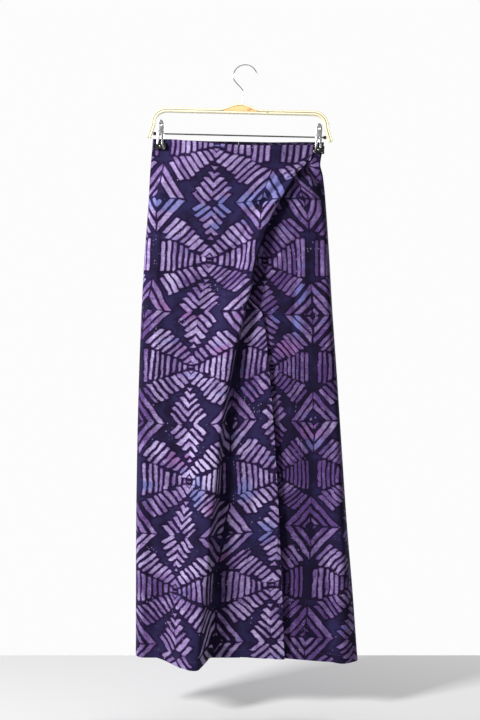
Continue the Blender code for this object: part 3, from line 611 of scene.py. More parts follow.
def printed(grid, drops, rows, lift):
    """The print's place on a panel, in repeats, at each point of its grid."""
    across = arcs(grid)
    found = np.zeros((*grid.shape[:2], 2))
    column, row, left, right = (Curve(rows, k) for k in range(1, 5))
    whole, wrap = rows is RIGHT_FRONT_PRINT, rows is WRAP_PRINT
    for i, drop in enumerate(drops):
        xs = grid[i, :, 0]
        order = np.argmax(xs >= column(drop)) if xs[-1] > xs[0] else np.argmax(xs <= column(drop))
        order = max(order, 1)
        share = (column(drop) - xs[order - 1]) / (xs[order] - xs[order - 1])
        home = mix(across[i, order - 1], across[i, order], np.clip(share, 0, 1))
        away = across[i] - home
        u = away / np.where(away < 0, left(drop), right(drop))
        if wrap:
            u = u + Curve(rows, 5)(drop) * bump((u - BEND_AT) / BEND_WIDE)
            u = u - SQUEEZE * np.maximum(u - 0.5, 0.0) * (1 - smooth((drop - SQUEEZE_TO[0]) / SQUEEZE_TO[1]))
        found[i, :, 0] = u + (0.5 if whole else 0.0)
        found[i, :, 1] = row(drop) + lift * np.abs(u)
    below = np.broadcast_to((drops - PINCH_DROP)[:, None], grid.shape[:2])
    aside = grid[:, :, 0] - PINCH_X
    if whole:
        away = np.hypot(aside, below)
        turn = np.arctan2(aside, below)
        near = smooth((FAN_FADE[0] - away) / FAN_FADE[1])
        fanned = FAN_ROW + away / FAN_REACH + FAN_HIDE * smooth((FAN_SHOWS[0] - turn) / FAN_SHOWS[1])
        found[:, :, 0] = mix(found[:, :, 0], FAN_TURN + FAN_SPREAD * turn, near)
        found[:, :, 1] = mix(found[:, :, 1], fanned, near)
    if wrap:
        aside, below = (aside - PULL_PLACE[0]) / PULL_SIZE[0], (below - PULL_PLACE[1]) / PULL_SIZE[1]
        found[:, :, 1] -= PULL * np.exp(-(aside**2) - below**2)
    return found


def linked(made):
    """Put an object into the scene."""
    bpy.context.scene.collection.objects.link(made)
    return made


def object_of(name, mesh, material, sharp):
    """An object with smooth faces, and sharp edges past an angle."""
    mesh.materials.append(material)
    mesh.shade_smooth()
    mesh.set_sharp_from_angle(angle=math.radians(sharp))
    return linked(bpy.data.objects.new(name, mesh))


def mesh_of(name, points, faces, material, sharp=SHARP):
    """An object from points in millimetres."""
    mesh = bpy.data.meshes.new(name)
    mesh.from_pydata((np.asarray(points, float) * MM).tolist(), [], faces)
    return object_of(name, mesh, material, sharp)


def set_uv(made, layer, places):
    """Give each vertex of a mesh its place on a map."""
    mesh = made.data
    corners = np.zeros(len(mesh.loops), np.int32)
    mesh.loops.foreach_get("vertex_index", corners)
    uv = mesh.uv_layers.new(name=layer)
    uv.data.foreach_set("uv", np.asarray(places, np.float32)[corners].ravel())


def cloth_shell(name, grid, side, uv, thick, material):
    """A closed shell of cloth whose outer face is a grid of points."""
    normals = grid_normals(grid)
    inner = grid - normals * thick[:, :, None]
    inner[:, :, 1] = side * np.maximum(side * inner[:, :, 1], SEAM / 2)
    high, wide = grid.shape[:2]
    at = np.arange(high * wide).reshape(high, wide)
    under = at + high * wide
    a, b, c, d = at[:-1, :-1], at[:-1, 1:], at[1:, 1:], at[1:, :-1]
    faces = [np.stack([a, d, c, b], -1).reshape(-1, 4)]
    a, b, c, d = (x + high * wide for x in (a, b, c, d))
    faces.append(np.stack([a, b, c, d], -1).reshape(-1, 4))
    for row, turned in ((0, False), (-1, True)):
        quad = [at[row, :-1], at[row, 1:], under[row, 1:], under[row, :-1]]
        faces.append(np.stack(quad[::-1] if turned else quad, -1))
    for column, turned in ((0, False), (-1, True)):
        quad = [at[:-1, column], under[:-1, column], under[1:, column], at[1:, column]]
        faces.append(np.stack(quad[::-1] if turned else quad, -1))
    points = np.concatenate([grid.reshape(-1, 3), inner.reshape(-1, 3)])
    made = mesh_of(name, points, np.concatenate(faces).tolist(), material, SHARP_SOFT)
    face = uv.reshape(-1, 2)
    set_uv(made, "cloth", np.concatenate([face, face + (REVERSE, 0.0)]))
    return made


class Value:
    """A socket that takes part in sums."""

    def __init__(self, finish, socket):
        self.finish, self.socket = finish, socket

    def maths(self, operation, *others):
        return self.finish.node("ShaderNodeMath", {"operation": operation}, [self, *others])

    def __rsub__(self, other):
        return self.finish.node("ShaderNodeMath", {"operation": "SUBTRACT"}, [other, self])

    __add__ = __radd__ = partialmethod(maths, "ADD")
    __sub__ = partialmethod(maths, "SUBTRACT")
    __mul__ = __rmul__ = partialmethod(maths, "MULTIPLY")
    __truediv__ = partialmethod(maths, "DIVIDE")
    __pow__ = partialmethod(maths, "POWER")
    __abs__ = partialmethod(maths, "ABSOLUTE")
    least = partialmethod(maths, "MINIMUM")
    most = partialmethod(maths, "MAXIMUM")

    def within(self, low, high):
        return self.most(low).least(high)

    def eased(self, low, high):
        """0 at low, 1 at high and smooth between."""
        values = {0: self, 1: low, 2: high, 3: 0.0, 4: 1.0}
        return self.finish.node("ShaderNodeMapRange", {"interpolation_type": "SMOOTHSTEP"}, values)

    def parts(self):
        """The three numbers of a vector or a colour."""
        first = self.finish.node("ShaderNodeSeparateXYZ", values=[self])
        return [Value(self.finish, output) for output in first.socket.node.outputs]


class Finish:
    """A material, whose nodes are written as sums of sockets."""

    def __init__(self, name, roughness=0.5, metallic=0.0, sheen=0.0, coat=0.0, shine=0.5):
        self.material = bpy.data.materials.new(name)
        self.material.use_nodes = True
        self.tree = self.material.node_tree
        self.shader = self.tree.nodes["Principled BSDF"]
        for socket, value in (("Roughness", roughness), ("Metallic", metallic), ("Sheen Weight", sheen),
                              ("Coat Weight", coat), ("Specular IOR Level", shine)):
            self.shader.inputs[socket].default_value = value

    def node(self, kind, settings=None, values=None, output=0):
        """Add a node with its settings, and the values or links of its inputs."""
        made = self.tree.nodes.new(kind)
        for name, setting in (settings or {}).items():
            if name == "stops":
                while len(made.color_ramp.elements) < len(setting):
                    made.color_ramp.elements.new(0.5)
                for element, (place, colour) in zip(made.color_ramp.elements, setting):
                    element.position, element.color = place, (*colour, 1.0)
            else:
                setattr(made, name, setting)
        pairs = values.items() if isinstance(values, dict) else enumerate(values or ())
        for key, value in pairs:
            self.feed(made.inputs[key], value)
        return Value(self, made.outputs[output])

    def feed(self, socket, value):
        if isinstance(value, Value):
            self.tree.links.new(value.socket, socket)
        elif socket.type == "RGBA" and len(value) == 3:
            socket.default_value = (*value, 1.0)
        else:
            socket.default_value = value

    def set(self, **sockets):
        """Feed the shader's own sockets, such as Base_Color."""
        for name, value in sockets.items():
            self.feed(self.shader.inputs[name.replace("_", " ")], value)

    def blend(self, first, second, share):
        """Mix two colours."""
        values = {0: share, 6: first, 7: second}
        return self.node("ShaderNodeMix", {"data_type": "RGBA", "blend_type": "MIX"}, values, 2)

    def where(self):
        """A point's place on the piece's own axes."""
        return self.node("ShaderNodeTexCoord", output=3)

    def vector(self, x, y, z=0.0):
        return self.node("ShaderNodeCombineXYZ", values=[x, y, z])

    def noise(self, place, scale, detail=2.0, rough=0.5, output=0):
        """Soft noise, about 0.5 in the middle."""
        values = {"Vector": place, "Scale": scale, "Detail": detail, "Roughness": rough}
        return self.node("ShaderNodeTexNoise", {"noise_dimensions": "3D"}, values, output)

    def bumped(self, height, distance, strength=1.0):
        """A bump whose height is in millimetres."""
        values = {"Strength": strength, "Distance": distance * MM, "Height": height}
        self.set(Normal=self.node("ShaderNodeBump", values=values))


def linear(red, green, blue):
    """A colour from its everyday 0 to 255 numbers."""
    def one(part):
        part /= 255.0
        return part / 12.92 if part <= 0.04045 else ((part + 0.055) / 1.055) ** 2.4

    return one(red), one(green), one(blue)


# The print's stamp, charted in repeats from the middle of its cell: a is across, b is up or down
UPRIGHT = {"first": 0.054, "step": 0.0542, "half": 0.0190, "slope": 0.37, "longest": 0.142, "last": 7}
SLANTED = {"lean": 1.0, "first": 0.022, "step": 0.0765, "half": 0.0200, "low": -2, "high": 5}
LEAF = {"lean": 0.85, "first": 0.0125, "step": 0.0750, "half": 0.0205, "low": -1, "high": 3}
DIAMOND = {"wide": 0.257, "high": 0.28, "first": 0.915, "step": 0.342, "half": 0.127, "last": 2}
BAR_CORNER = 0.021
# How far the print strays in repeats, over a large, a middling and a small distance
WAVER = (0.050, 0.024, 0.013)
# Where the bars are paler or darker: across, row, half width, half height, and how much paler. Most patches are dye
# that took more or less. The patch at row 12.8 over the whole right front, the darker patches at across 0.36 to
# 0.4, rows 13.46 to 14.8, beside the free edge, and the patch at across 0.24, row 1.72, in the valley beside the
# crest are painted shade; the patch at row 4.75 on the fold's return near the hem is painted light
DYE_AND_PAINTED_LIGHT_TONES = [
    (-0.3, 1.46, 0.05, 0.14, -0.3), (-0.14, 1.74, 0.14, 0.1, -0.25), (0.24, 1.72, 0.16, 0.1, -0.2),
    (0.26, 2.02, 0.1, 0.2, 0.35), (-0.42, 2.1, 0.12, 0.18, -0.2), (0.08, 2.3, 0.2, 0.12, 0.1),
    (-0.4, 2.95, 0.12, 0.28, -0.4), (0.17, 3.4, 0.2, 0.22, 0.4), (-0.34, 3.22, 0.12, 0.08, 0.35),
    (0.13, 3.8, 0.14, 0.12, 0.3), (-0.42, 3.84, 0.1, 0.16, -0.35), (0.2, 4.29, 0.2, 0.08, 0.3),
    (-0.22, 4.26, 0.18, 0.14, 0.25), (-0.24, 4.46, 0.22, 0.12, -0.35), (0.24, 4.56, 0.2, 0.12, -0.3),
    (-0.3, 4.9, 0.2, 0.16, -0.25), (0.62, 3.2, 0.14, 0.12, 0.15), (0.8, 3.82, 0.1, 0.14, 0.35),
    (0.86, 4.84, 0.12, 0.2, 0.25), (0.6, 2.72, 0.16, 0.22, -0.2), (0.6, 4.5, 0.16, 0.16, -0.3),
    (0.5, 12.8, 1.2, 3.2, -0.34), (0.12, 3.05, 0.15, 0.55, 0.24), (-0.31, 2.2, 0.1, 1.2, 0.24),
    (0.36, 4.75, 0.16, 0.4, 0.32), (-0.5, 2.4, 0.09, 0.75, -0.34), (0.36, 13.46, 0.2, 0.12, -0.4),
    (0.72, 13, 0.1, 0.3, 0.25), (0.5, 13, 0.14, 0.14, 0.15), (0.76, 14.3, 0.16, 0.14, 0.3),
    (0.38, 14.46, 0.14, 0.14, -0.35), (0.36, 13.84, 0.14, 0.2, -0.3), (0.4, 14.8, 0.16, 0.2, -0.3),
    (0.9, 12.4, 0.14, 0.6, 0.2),
]
# Patches of stray dye: across, row, half width and half height in repeats, and the dye
BLUE_DYE = [
    (-0.4, 1.05, 0.22, 0.06), (-0.1, 1.07, 0.12, 0.06), (0.12, 1.03, 0.1, 0.09), (0.05, 1.2, 0.06, 0.04),
    (0.36, 0.98, 0.14, 0.07), (0.58, 0.9, 0.16, 0.14), (-0.5, 1.04, 0.12, 0.07), (-0.48, 3.56, 0.16, 0.05),
    (0.86, 4, 0.12, 0.1), (0.1, 3.6, 0.08, 0.16), (0.62, 3.62, 0.1, 0.1), (0.4, 11.8, 0.06, 0.1),
    (0.16, 12.02, 0.06, 0.05), (0.34, 12.1, 0.06, 0.1),
]
PINK_DYE = [
    (-0.3, 1.95, 0.12, 0.05), (-0.06, 2.02, 0.09, 0.05), (0.52, 4.22, 0.1, 0.05), (0.3, 3.74, 0.09, 0.05),
    (-0.1, 3.3, 0.14, 0.06), (0.28, 2.36, 0.1, 0.05), (0.46, 2.06, 0.08, 0.05), (0.2, 12.32, 0.14, 0.08),
    (0.46, 13.1, 0.12, 0.06),
]


def bar(across, half, ends):
    """Signed distance from a bar of a half width, between ends that are already signed distances."""
    return (abs(across) - half).maths("SMOOTH_MAX", ends, BAR_CORNER)


def wedge_mark(a, b, wide_at, point_at, half):
    """A small triangle on the cell's middle line, wide towards the hourglass and pointed towards the leaf."""
    deep = wide_at - point_at
    scale = 1.0 / math.hypot(1 / half, 1 / deep)
    sloped = (a * (1 / half) - (b - point_at) * (1 / deep)) * scale
    return sloped.maths("SMOOTH_MAX", b - wide_at, 0.010)


def chances(finish, index, home_across, home_down, family):
    """Three random numbers that stay the same all over one bar."""
    place = finish.vector(index + 31.0 * family, home_across, home_down)
    return finish.node("ShaderNodeTexWhiteNoise", {"noise_dimensions": "3D"}, [place], 1).parts()


def slanted_bars(finish, chart, a, b, lower, upper, home, family):
    """A row of parallel slanted bars between two ends, each end a function of the bar's place."""
    lean, long = chart["lean"], math.hypot(1.0, chart["lean"])
    offset = b - lean * a
    index = ((offset - chart["first"]) / chart["step"]).maths("ROUND").within(chart["low"], chart["high"])
    centre = index * chart["step"] + chart["first"]
    one, two, three = chances(finish, index, *home, family)
    along = (a + (b - centre) * lean) * (1.0 / long**2)
    low, high = lower(centre) + (one - 0.5) * 0.016, upper(centre) + (two - 0.5) * 0.020
    square = (offset - centre) * (1.0 / long)
    across = square + (two - 0.5) * 0.004 + (along - low) * (one - 0.5) * 0.05
    half = chart["half"] + (three - 0.5) * 0.008
    cut = 0.40 + 0.45 * one
    ends = ((along - high) * long + square * cut).most((low - along) * long - square * (cut * 0.7))
    return bar(across, half, ends), three


def batik(name, settings):
    """Wax-resist print on plain woven cotton."""
    finish = Finish(name, roughness=0.86, sheen=0.03, shine=0.08)
    place = finish.node("ShaderNodeUVMap", {"uv_map": "cloth"})
    wide = finish.noise(place, 2.6, 1.0, 0.5, 1).parts()
    middling = finish.noise(place, 10.0, 1.0, 0.5, 1).parts()
    fine = finish.noise(place, 38.0, 3.0, 0.6, 1).parts()
    flat_u, flat_v = place.parts()[:2]
    ragged = 0.55 + 0.45 * (flat_v - 10.0 * flat_v.maths("GREATER_THAN", 9.0)).eased(1.4, 2.8)
    u, v = (
        flat + (wide[k] - 0.5) * WAVER[0] + ((middling[k] - 0.5) * WAVER[1] + (fine[k] - 0.5) * WAVER[2]) * ragged
        for k, flat in enumerate((flat_u, flat_v))
    )
    cell_u, cell_v = u.maths("ROUND"), v.maths("ROUND")
    side_u, side_v = u - cell_u, v - cell_v
    a, b = abs(side_u), abs(side_v)
    home = (cell_u * 2.0 + side_u.maths("SIGN") * 0.5, cell_v * 2.0 + side_v.maths("SIGN") * 0.5)

    # Upright bars of the hourglass, which lie across the line between two cells
    waist = v - v.maths("FLOOR") - 0.5
    index = ((a - UPRIGHT["first"]) / UPRIGHT["step"]).maths("ROUND").within(0, UPRIGHT["last"])
    centre = index * UPRIGHT["step"] + UPRIGHT["first"]
    one, two, three = chances(finish, index, home[0], v.maths("FLOOR"), 1)
    long = ((centre * 0.45 + a * 0.55) * UPRIGHT["slope"] + 0.005).least(UPRIGHT["longest"]) * (0.94 + 0.12 * one)
    across = a - centre + waist * (one - 0.5) * 0.06 + (two - 0.5) * 0.005
    upright = bar(across, UPRIGHT["half"] + (three - 0.5) * 0.008, abs(waist + (two - 0.5) * 0.014) - long)
    dash = bar(a, 0.028, abs(waist) - 0.0075)
    upright_tint = three

    slanted, slanted_tint = slanted_bars(
        finish, SLANTED, a, b,
        lambda s: ((0.375 - s) * (1 / 1.8)).most(0.165 - s),
        lambda s: ((0.475 - s) * (1 / 1.35)).within(0.062, 0.43),
        home, 2,
    )
    leaf, leaf_tint = slanted_bars(
        finish, LEAF, a, b,
        lambda s: (0.045 - s) * (1 / 1.5),
        lambda s: (0.2376 - 0.67 * s) * (1 / 1.5695),
        home, 3,
    )
    drop = wedge_mark(a, b, 0.323, 0.283, 0.036)
    bud = wedge_mark(a, b, 0.472, 0.441, 0.037)

    # Diamonds inside one another at the corners of the cell
    q = 0.5 - a
    ring = q * (1 / DIAMOND["wide"]) + b * (1 / DIAMOND["high"])
    index = ((DIAMOND["first"] - ring) / DIAMOND["step"]).maths("ROUND").within(0, DIAMOND["last"])
    one, two, three = chances(finish, index, *home, 4)
    steep = math.hypot(1 / DIAMOND["wide"], 1 / DIAMOND["high"])
    mid = DIAMOND["first"] - index * DIAMOND["step"]
    half = DIAMOND["half"] - index * 0.014 + (three - 0.5) * 0.03
    band = (abs(ring - mid + (two - 0.5) * 0.04) - half) * (1 / steep)
    gap = (0.014 * one - 0.004 - q).most(0.012 * two - 0.003 - b)
    torn = (index - 1.35).most(0.0) * (finish.noise(place, 9.0, 1.0).eased(0.45, 0.66) * 0.036)
    diamond = band.maths("SMOOTH_MAX", gap, BAR_CORNER * 0.6) + torn
    diamond_tint = three

    families = [
        (upright.least(dash), upright_tint), (slanted.least(bud), slanted_tint),
        (leaf.least(drop), leaf_tint), (diamond, diamond_tint),
    ]
    nearest, tint = families[0]
    for distance, chance in families[1:]:
        closer = distance.maths("LESS_THAN", nearest)
        tint = tint + (chance - tint) * closer
        nearest = nearest.least(distance)

    swell = finish.noise(place, 20.0, 3.0)
    edge = nearest - (swell - 0.52) * 0.018 * ragged + 0.0012 * ragged
    bent = finish.node("ShaderNodeVectorMath", {"operation": "ADD"}, [
        place, finish.vector((fine[0] - 0.5) * 0.05, (fine[1] - 0.5) * 0.05),
    ])
    crackle = finish.node(
        "ShaderNodeTexVoronoi", {"feature": "DISTANCE_TO_EDGE"}, {"Vector": bent, "Scale": 13.0, "Randomness": 1.0}
    )
    cracked = 1.0 - (1.0 - crackle.eased(0.008, 0.020)) * finish.noise(place, 6.0, 1.0).eased(0.50, 0.62) * 0.5
    mask = edge.eased(0.0035, -0.0035) * cracked
    core = edge.eased(-0.001, -0.009)

    # Dye: bars from mauve to pale lilac, ground from purple by the bars to navy in the open; the tone chart adds
    # painted light and shade, and the cloth's reverse face gets painted shade
    grain = finish.noise(place, 52.0, 3.0, 0.75)
    mottled = finish.noise(place, 15.0, 3.0, 0.6)
    cloudy = finish.noise(place, 2.3, 2.0)
    streaks = (finish.noise(finish.vector(flat_u * 3.0, flat_v * 50.0), 1.0, 2.0) - 0.5) * cloudy.eased(0.40, 0.60)
    # The bars' tone from the chart: dye patches, and painted light and shade
    tone_and_painted_light = dye_and_painted_light_tone(flat_u, flat_v)
    shade = tint * 0.34 + grain * 0.95 + mottled * 0.95 + cloudy * 0.55 + streaks * 0.7 + tone_and_painted_light - 0.92
    shade = shade.within(0.0, 1.0)
    stops = [(0.0, settings.bar_deep), (0.42, settings.bar_colour), (1.0, settings.bar_pale)]
    bars = finish.node("ShaderNodeValToRGB", {"stops": stops}, [shade])
    bars = finish.blend(settings.bar_edge, bars, core)
    ground = finish.blend(settings.ground_by_bars, settings.ground_open, edge.eased(0.004, 0.024))
    # Darker ground dye in patches, darker still where the chart darkens the bars, its painted shade included
    darker = (finish.noise(place, 7.0, 3.0) * 0.7 + cloudy * 0.5 - tone_and_painted_light * 0.25).eased(0.50, 0.74)
    ground = finish.blend(ground, settings.ground_dark_and_reverse_shade, darker * 0.75)
    blue, pink = dye_patches(finish, flat_u, flat_v, mottled)
    bars = finish.blend(bars, settings.bar_blue, blue)
    bars = finish.blend(bars, settings.bar_pink, pink)
    ground = finish.blend(ground, settings.ground_blue, blue * 0.3)
    colour = finish.blend(ground, bars, mask)
    stray = finish.node("ShaderNodeTexVoronoi", {"feature": "F1"}, {"Vector": place, "Scale": 30.0})
    spots = stray.eased(0.22, 0.10) * finish.noise(place, 4.4, 1.0).eased(0.54, 0.64) * 0.45
    colour = finish.blend(colour, settings.bar_pale, spots)
    joint = abs(side_v + (fine[0] - 0.5) * 0.004).eased(0.005, 0.0015) * swell.eased(0.45, 0.6)
    colour = finish.blend(colour, settings.ground_dark_and_reverse_shade, joint * 0.4)
    # Painted shade: the cloth's reverse face, past 0.4 REVERSE on the map, is darkened towards the dark ground
    # colour
    colour = finish.blend(colour, settings.ground_dark_and_reverse_shade, flat_u.eased(0.4 * REVERSE, 0.6 * REVERSE) * 0.86)

    # Plain weave with slubs in its threads
    threads_u = (flat_u * (REPEAT[0] / settings.thread * math.pi)).maths("SINE")
    threads_v = (flat_v * (REPEAT[1] / settings.thread * math.pi)).maths("SINE")
    slub = finish.noise(finish.vector(flat_u * 30.0, flat_v * 700.0), 1.0, 1.0)
    weave = threads_u * threads_v * 0.5 + slub * 0.6 + grain * 0.5
    finish.set(Base_Color=colour, Roughness=0.80 + 0.16 * grain)
    finish.bumped(weave, 0.10)
    return finish.material


def apart(u, v, across, row, wide, high):
    """The square of the distance from a patch's middle, 1 at its edge."""
    return ((u - across) * (1 / wide)) ** 2.0 + ((v - row) * (1 / high)) ** 2.0


def dye_and_painted_light_tone(u, v):
    """How much paler the bars are at a place, from the chart of dye patches and of painted light and shade."""
    total = 0.0
    for across, row, wide, high, paler in DYE_AND_PAINTED_LIGHT_TONES:
        total = total + apart(u, v, across, row, wide, high).eased(1.8, 0.1) * paler
    return total


def dye_patches(finish, u, v, ragged):
    """How strongly the blue and the pink dye show at a place."""
    found = []
    for patches, stray in ((BLUE_DYE, 0.59), (PINK_DYE, 0.66)):
        total = None
        for across, row, wide, high in patches:
            patch = (apart(u, v, across, row, wide, high) + (ragged - 0.5) * 2.0).eased(1.7, 0.1)
            total = patch if total is None else total.most(patch)
        loose = finish.noise(finish.vector(u * 1.6 + stray * 40.0, v * 4.2), 1.7, 2.0).eased(stray, stray + 0.14)
        found.append(total.most(loose * 0.6) * 0.75)
    return found


def wood(name, pale, dark, edge):
    """Satin wood whose grain follows the piece."""
    finish = Finish(name, roughness=0.42, coat=0.25)
    place = finish.node("ShaderNodeUVMap", {"uv_map": "grain"})
    run, round_it = place.parts()[:2]
    streaks = finish.noise(finish.vector(run * 0.9, round_it * 70.0), 1.0, 3.0, 0.6)
    bands = finish.noise(finish.vector(run * 0.35, round_it * 14.0 + 7.0), 1.0, 2.0)
    pores = finish.noise(finish.vector(run * 12.0, round_it * 420.0), 1.0, 2.0, 0.7).eased(0.60, 0.74)
    shade = (streaks * 0.7 + bands * 0.8 - 0.4).within(0.0, 1.0)
    colour = finish.blend(pale, dark, shade)
    colour = finish.blend(colour, edge, pores * 0.35)
    return finish, colour, streaks, pores


def bent_birch(name, settings):
    finish, colour, streaks, pores = wood(name, settings.birch_pale, settings.birch_streak, settings.birch_pores_and_edge_shade)
    where = finish.where()
    x, y, z = where.parts()
    knot = (((x - 0.0449) * 300.0) ** 2.0 + ((z + 0.0972) * 800.0) ** 2.0).eased(1.2, 0.2)
    # Painted shade: a darker line along the rounded corners beside each strip's front and back faces
    painted_edge_shade = (abs(y) * 1000.0).eased(5.0, 5.4) * (abs(y) * 1000.0).eased(5.99, 5.8)
    colour = finish.blend(colour, settings.birch_pores_and_edge_shade, painted_edge_shade * 0.9)
    colour = finish.blend(colour, settings.birch_knot, knot * 0.55)
    finish.set(Base_Color=colour, Roughness=0.38 + 0.16 * streaks)
    finish.bumped(streaks * 0.6 - pores * 0.8, 0.05)
    return finish.material


def wedge_wood(name, settings):
    finish, colour, streaks, pores = wood(name, settings.wedge_pale, settings.wedge_streak, settings.wedge_patch)
    where = finish.where()
    x, _, z = where.parts()
    ragged = finish.noise(where, 160.0, 2.0)
    patch = (((x - 0.0085) * 150.0) ** 2.0 + ((z + 0.0915) * 300.0) ** 2.0 + (ragged - 0.5) * 1.6)
    colour = finish.blend(colour, settings.wedge_patch, patch.eased(1.1, 0.1) * 0.75)
    finish.set(Base_Color=colour, Roughness=0.42 + 0.18 * streaks)
    finish.bumped(streaks * 0.6 - pores * 0.8, 0.06)
    return finish.material


def metal(name, colour, worn, roughness, scratch):
    """Plated or bare steel with fine scratches and a little tarnish."""
    finish = Finish(name, roughness=roughness, metallic=1.0)
    place = finish.where()
    x, y, z = place.parts()
    tarnish = finish.noise(place, 90.0, 3.0, 0.6)
    lines = finish.noise(finish.vector(x * 60.0, y * 1400.0, z * 1400.0), 1.0, 2.0, 0.7)
    finish.set(
        Base_Color=finish.blend(colour, worn, tarnish.eased(0.40, 0.70)),
        Roughness=(roughness + (tarnish - 0.4) * 0.16 + lines * scratch).within(0.05, 0.8),
    )
    finish.bumped(lines, 0.02, 0.5)
    return finish.material


def rubber(name, colour, dusty):
    """Matt black rubber, a little dusty."""
    finish = Finish(name, roughness=0.6, shine=0.2)
    place = finish.where()
    dust = finish.noise(place, 320.0, 3.0, 0.6)
    grain = finish.noise(place, 1900.0, 1.0)
    finish.set(
        Base_Color=finish.blend(colour, dusty, dust.eased(0.45, 0.8)),
        Roughness=0.5 + 0.3 * dust,
    )
    finish.bumped(grain, 0.05)
    return finish.material


def thread(name, colour, pale):
    """Twisted cotton sewing thread."""
    finish = Finish(name, roughness=0.75, sheen=0.2)
    place = finish.where()
    x, _, z = place.parts()
    twist = ((x + z) * 9000.0).maths("SINE")
    fuzz = finish.noise(place, 1500.0, 2.0)
    finish.set(Base_Color=finish.blend(colour, pale, fuzz), Roughness=0.65 + 0.2 * fuzz)
    finish.bumped(twist, 0.06)
    return finish.material


def floor_paint(settings):
    """Plain pale matt floor."""
    finish = Finish("studio_floor", roughness=0.9)
    place = finish.where()
    cloud = finish.noise(place, 1.2, 2.0)
    colour = tuple(settings.floor_colour)
    finish.set(Base_Color=finish.blend(colour, tuple(part * 0.96 for part in colour), cloud))
    return finish.material


def made_once(name, make, *values):
    """A material by its name, made when it is first asked for."""
    return bpy.data.materials.get(name) or make(name, *values)


def ways(path):
    """The direction of a line at each of its points, and the direction to its left."""
    along = np.gradient(path, axis=0)
    along /= np.linalg.norm(along, axis=1, keepdims=True)
    return along, np.column_stack([-along[:, 1], along[:, 0]])


def run_of(points):
    """Distance along a line of points from its first."""
    return np.concatenate([[0.0], np.cumsum(np.linalg.norm(np.diff(points, axis=0), axis=1))])


def tube_faces(rings, sides):
    """The faces of a tube from ring to ring, and then its two ends."""
    faces = []
    for i in range(rings - 1):
        for j in range(sides):
            a, b = i * sides + j, i * sides + (j + 1) % sides
            faces.append((a, b, b + sides, a + sides))
    return faces + [tuple(reversed(range(sides))), tuple(range((rings - 1) * sides, rings * sides))]


def sweep(name, path, ring_at, material, caps=0.35):
    """A closed tube of rings along a path, with softly closed ends. ring_at gives (side, deep) pairs."""
    path, ring = np.asarray(path, float), np.asarray(ring_at, float)
    along, aside = ways(path)
    rows = []
    for place, out in zip(path, aside):
        spots = place + out * ring[:, :1]
        rows.append(np.column_stack([spots[:, 0], ring[:, 1], spots[:, 1]]))
    ends = []
    for row, way in ((rows[0], -along[0]), (rows[-1], along[-1])):
        middle = row.mean(axis=0)
        step = np.array([way[0], 0.0, way[1]])
        ends.append(middle + (row - middle) * (1 - caps / np.abs(ring).max()) + step * caps * CAP_REACH)
    rows = [ends[0]] + rows + [ends[1]]
    points, count = np.concatenate(rows), len(ring)
    made = mesh_of(name, points, tube_faces(len(rows), count), material)
    facing_out(made)
    run, round_it = run_of(points[::count]), run_of(ring)
    set_uv(made, "grain", [(out * GRAIN_SCALE, turn * GRAIN_SCALE) for out in run for turn in round_it])
    return made


def facing_out(made, merge=False):
    """Turn every face of a closed mesh outwards, after joining the points that fall together if asked."""
    work = bmesh.new()
    work.from_mesh(made.data)
    if merge:
        bmesh.ops.remove_doubles(work, verts=work.verts, dist=JOINED_WITHIN)
    bmesh.ops.recalc_face_normals(work, faces=work.faces)
    work.to_mesh(made.data)
    work.free()


def rounded_ring(half, depth, edge, steps=3):
    """A rectangle with rounded corners, as (side, deep) pairs."""
    ring = []
    for middle_x, middle_y, start in (
        (half - edge, depth - edge, 0), (edge - half, depth - edge, 90),
        (edge - half, edge - depth, 180), (half - edge, edge - depth, 270),
    ):
        for k in range(steps + 1):
            angle = math.radians(start + 90.0 * k / steps)
            ring.append((middle_x + edge * math.cos(angle), middle_y + edge * math.sin(angle)))
    return ring


def round_ring(radius, sides=WIRE_SIDES):
    angles = [math.tau * k / sides for k in range(sides)]
    return [(radius * math.cos(angle), radius * math.sin(angle)) for angle in angles]


def hump(x):
    return HUMP_HEIGHT * bump(x / HUMP_REACH)


def bow_path():
    """The line between the bow's strips, from the left foot to the right, as (x, z) about its middle."""
    level = BOW_TOP - BOW_STRIP - SEAM / 2
    corner_z = level - BOW_CORNER_RADIUS
    side_x = BOW_CORNER_X + BOW_CORNER_RADIUS
    splay = Curve(FEET)
    left = [(-side_x - float(splay(z)), z) for z in np.linspace(FEET[0][0], FEET[-1][0], BOW_STEPS[0])]
    for k in range(BOW_STEPS[1] + 1):
        angle = math.radians(180 - 90 * k / BOW_STEPS[1])
        out, up = BOW_CORNER_RADIUS * math.cos(angle), BOW_CORNER_RADIUS * math.sin(angle)
        left.append((out - BOW_CORNER_X, corner_z + up))
    right = [(-x, z) for x, z in reversed(left)]
    flat = np.linspace(BOW_FLAT_X, HUMP_REACH, BOW_STEPS[2])[:-1]
    humped = np.linspace(-HUMP_REACH, HUMP_REACH, BOW_STEPS[3])
    middle = [(-x, level) for x in flat] + [(x, level) for x in humped] + [(x, level) for x in reversed(flat)]
    return np.array(left + middle + right)


def bow_strip(name, offset, humped, material):
    """One of the bow's two strips."""
    path = bow_path()
    path = path + ways(path)[1] * offset
    if humped:
        path[:, 1] += np.where(np.abs(path[:, 0]) <= HUMP_REACH, hump(path[:, 0]), 0.0)
    path[:, 0] += BOW_MIDDLE
    return sweep(name, path, rounded_ring(BOW_STRIP / 2, BOW_DEPTH / 2, BOW_EDGE), material)


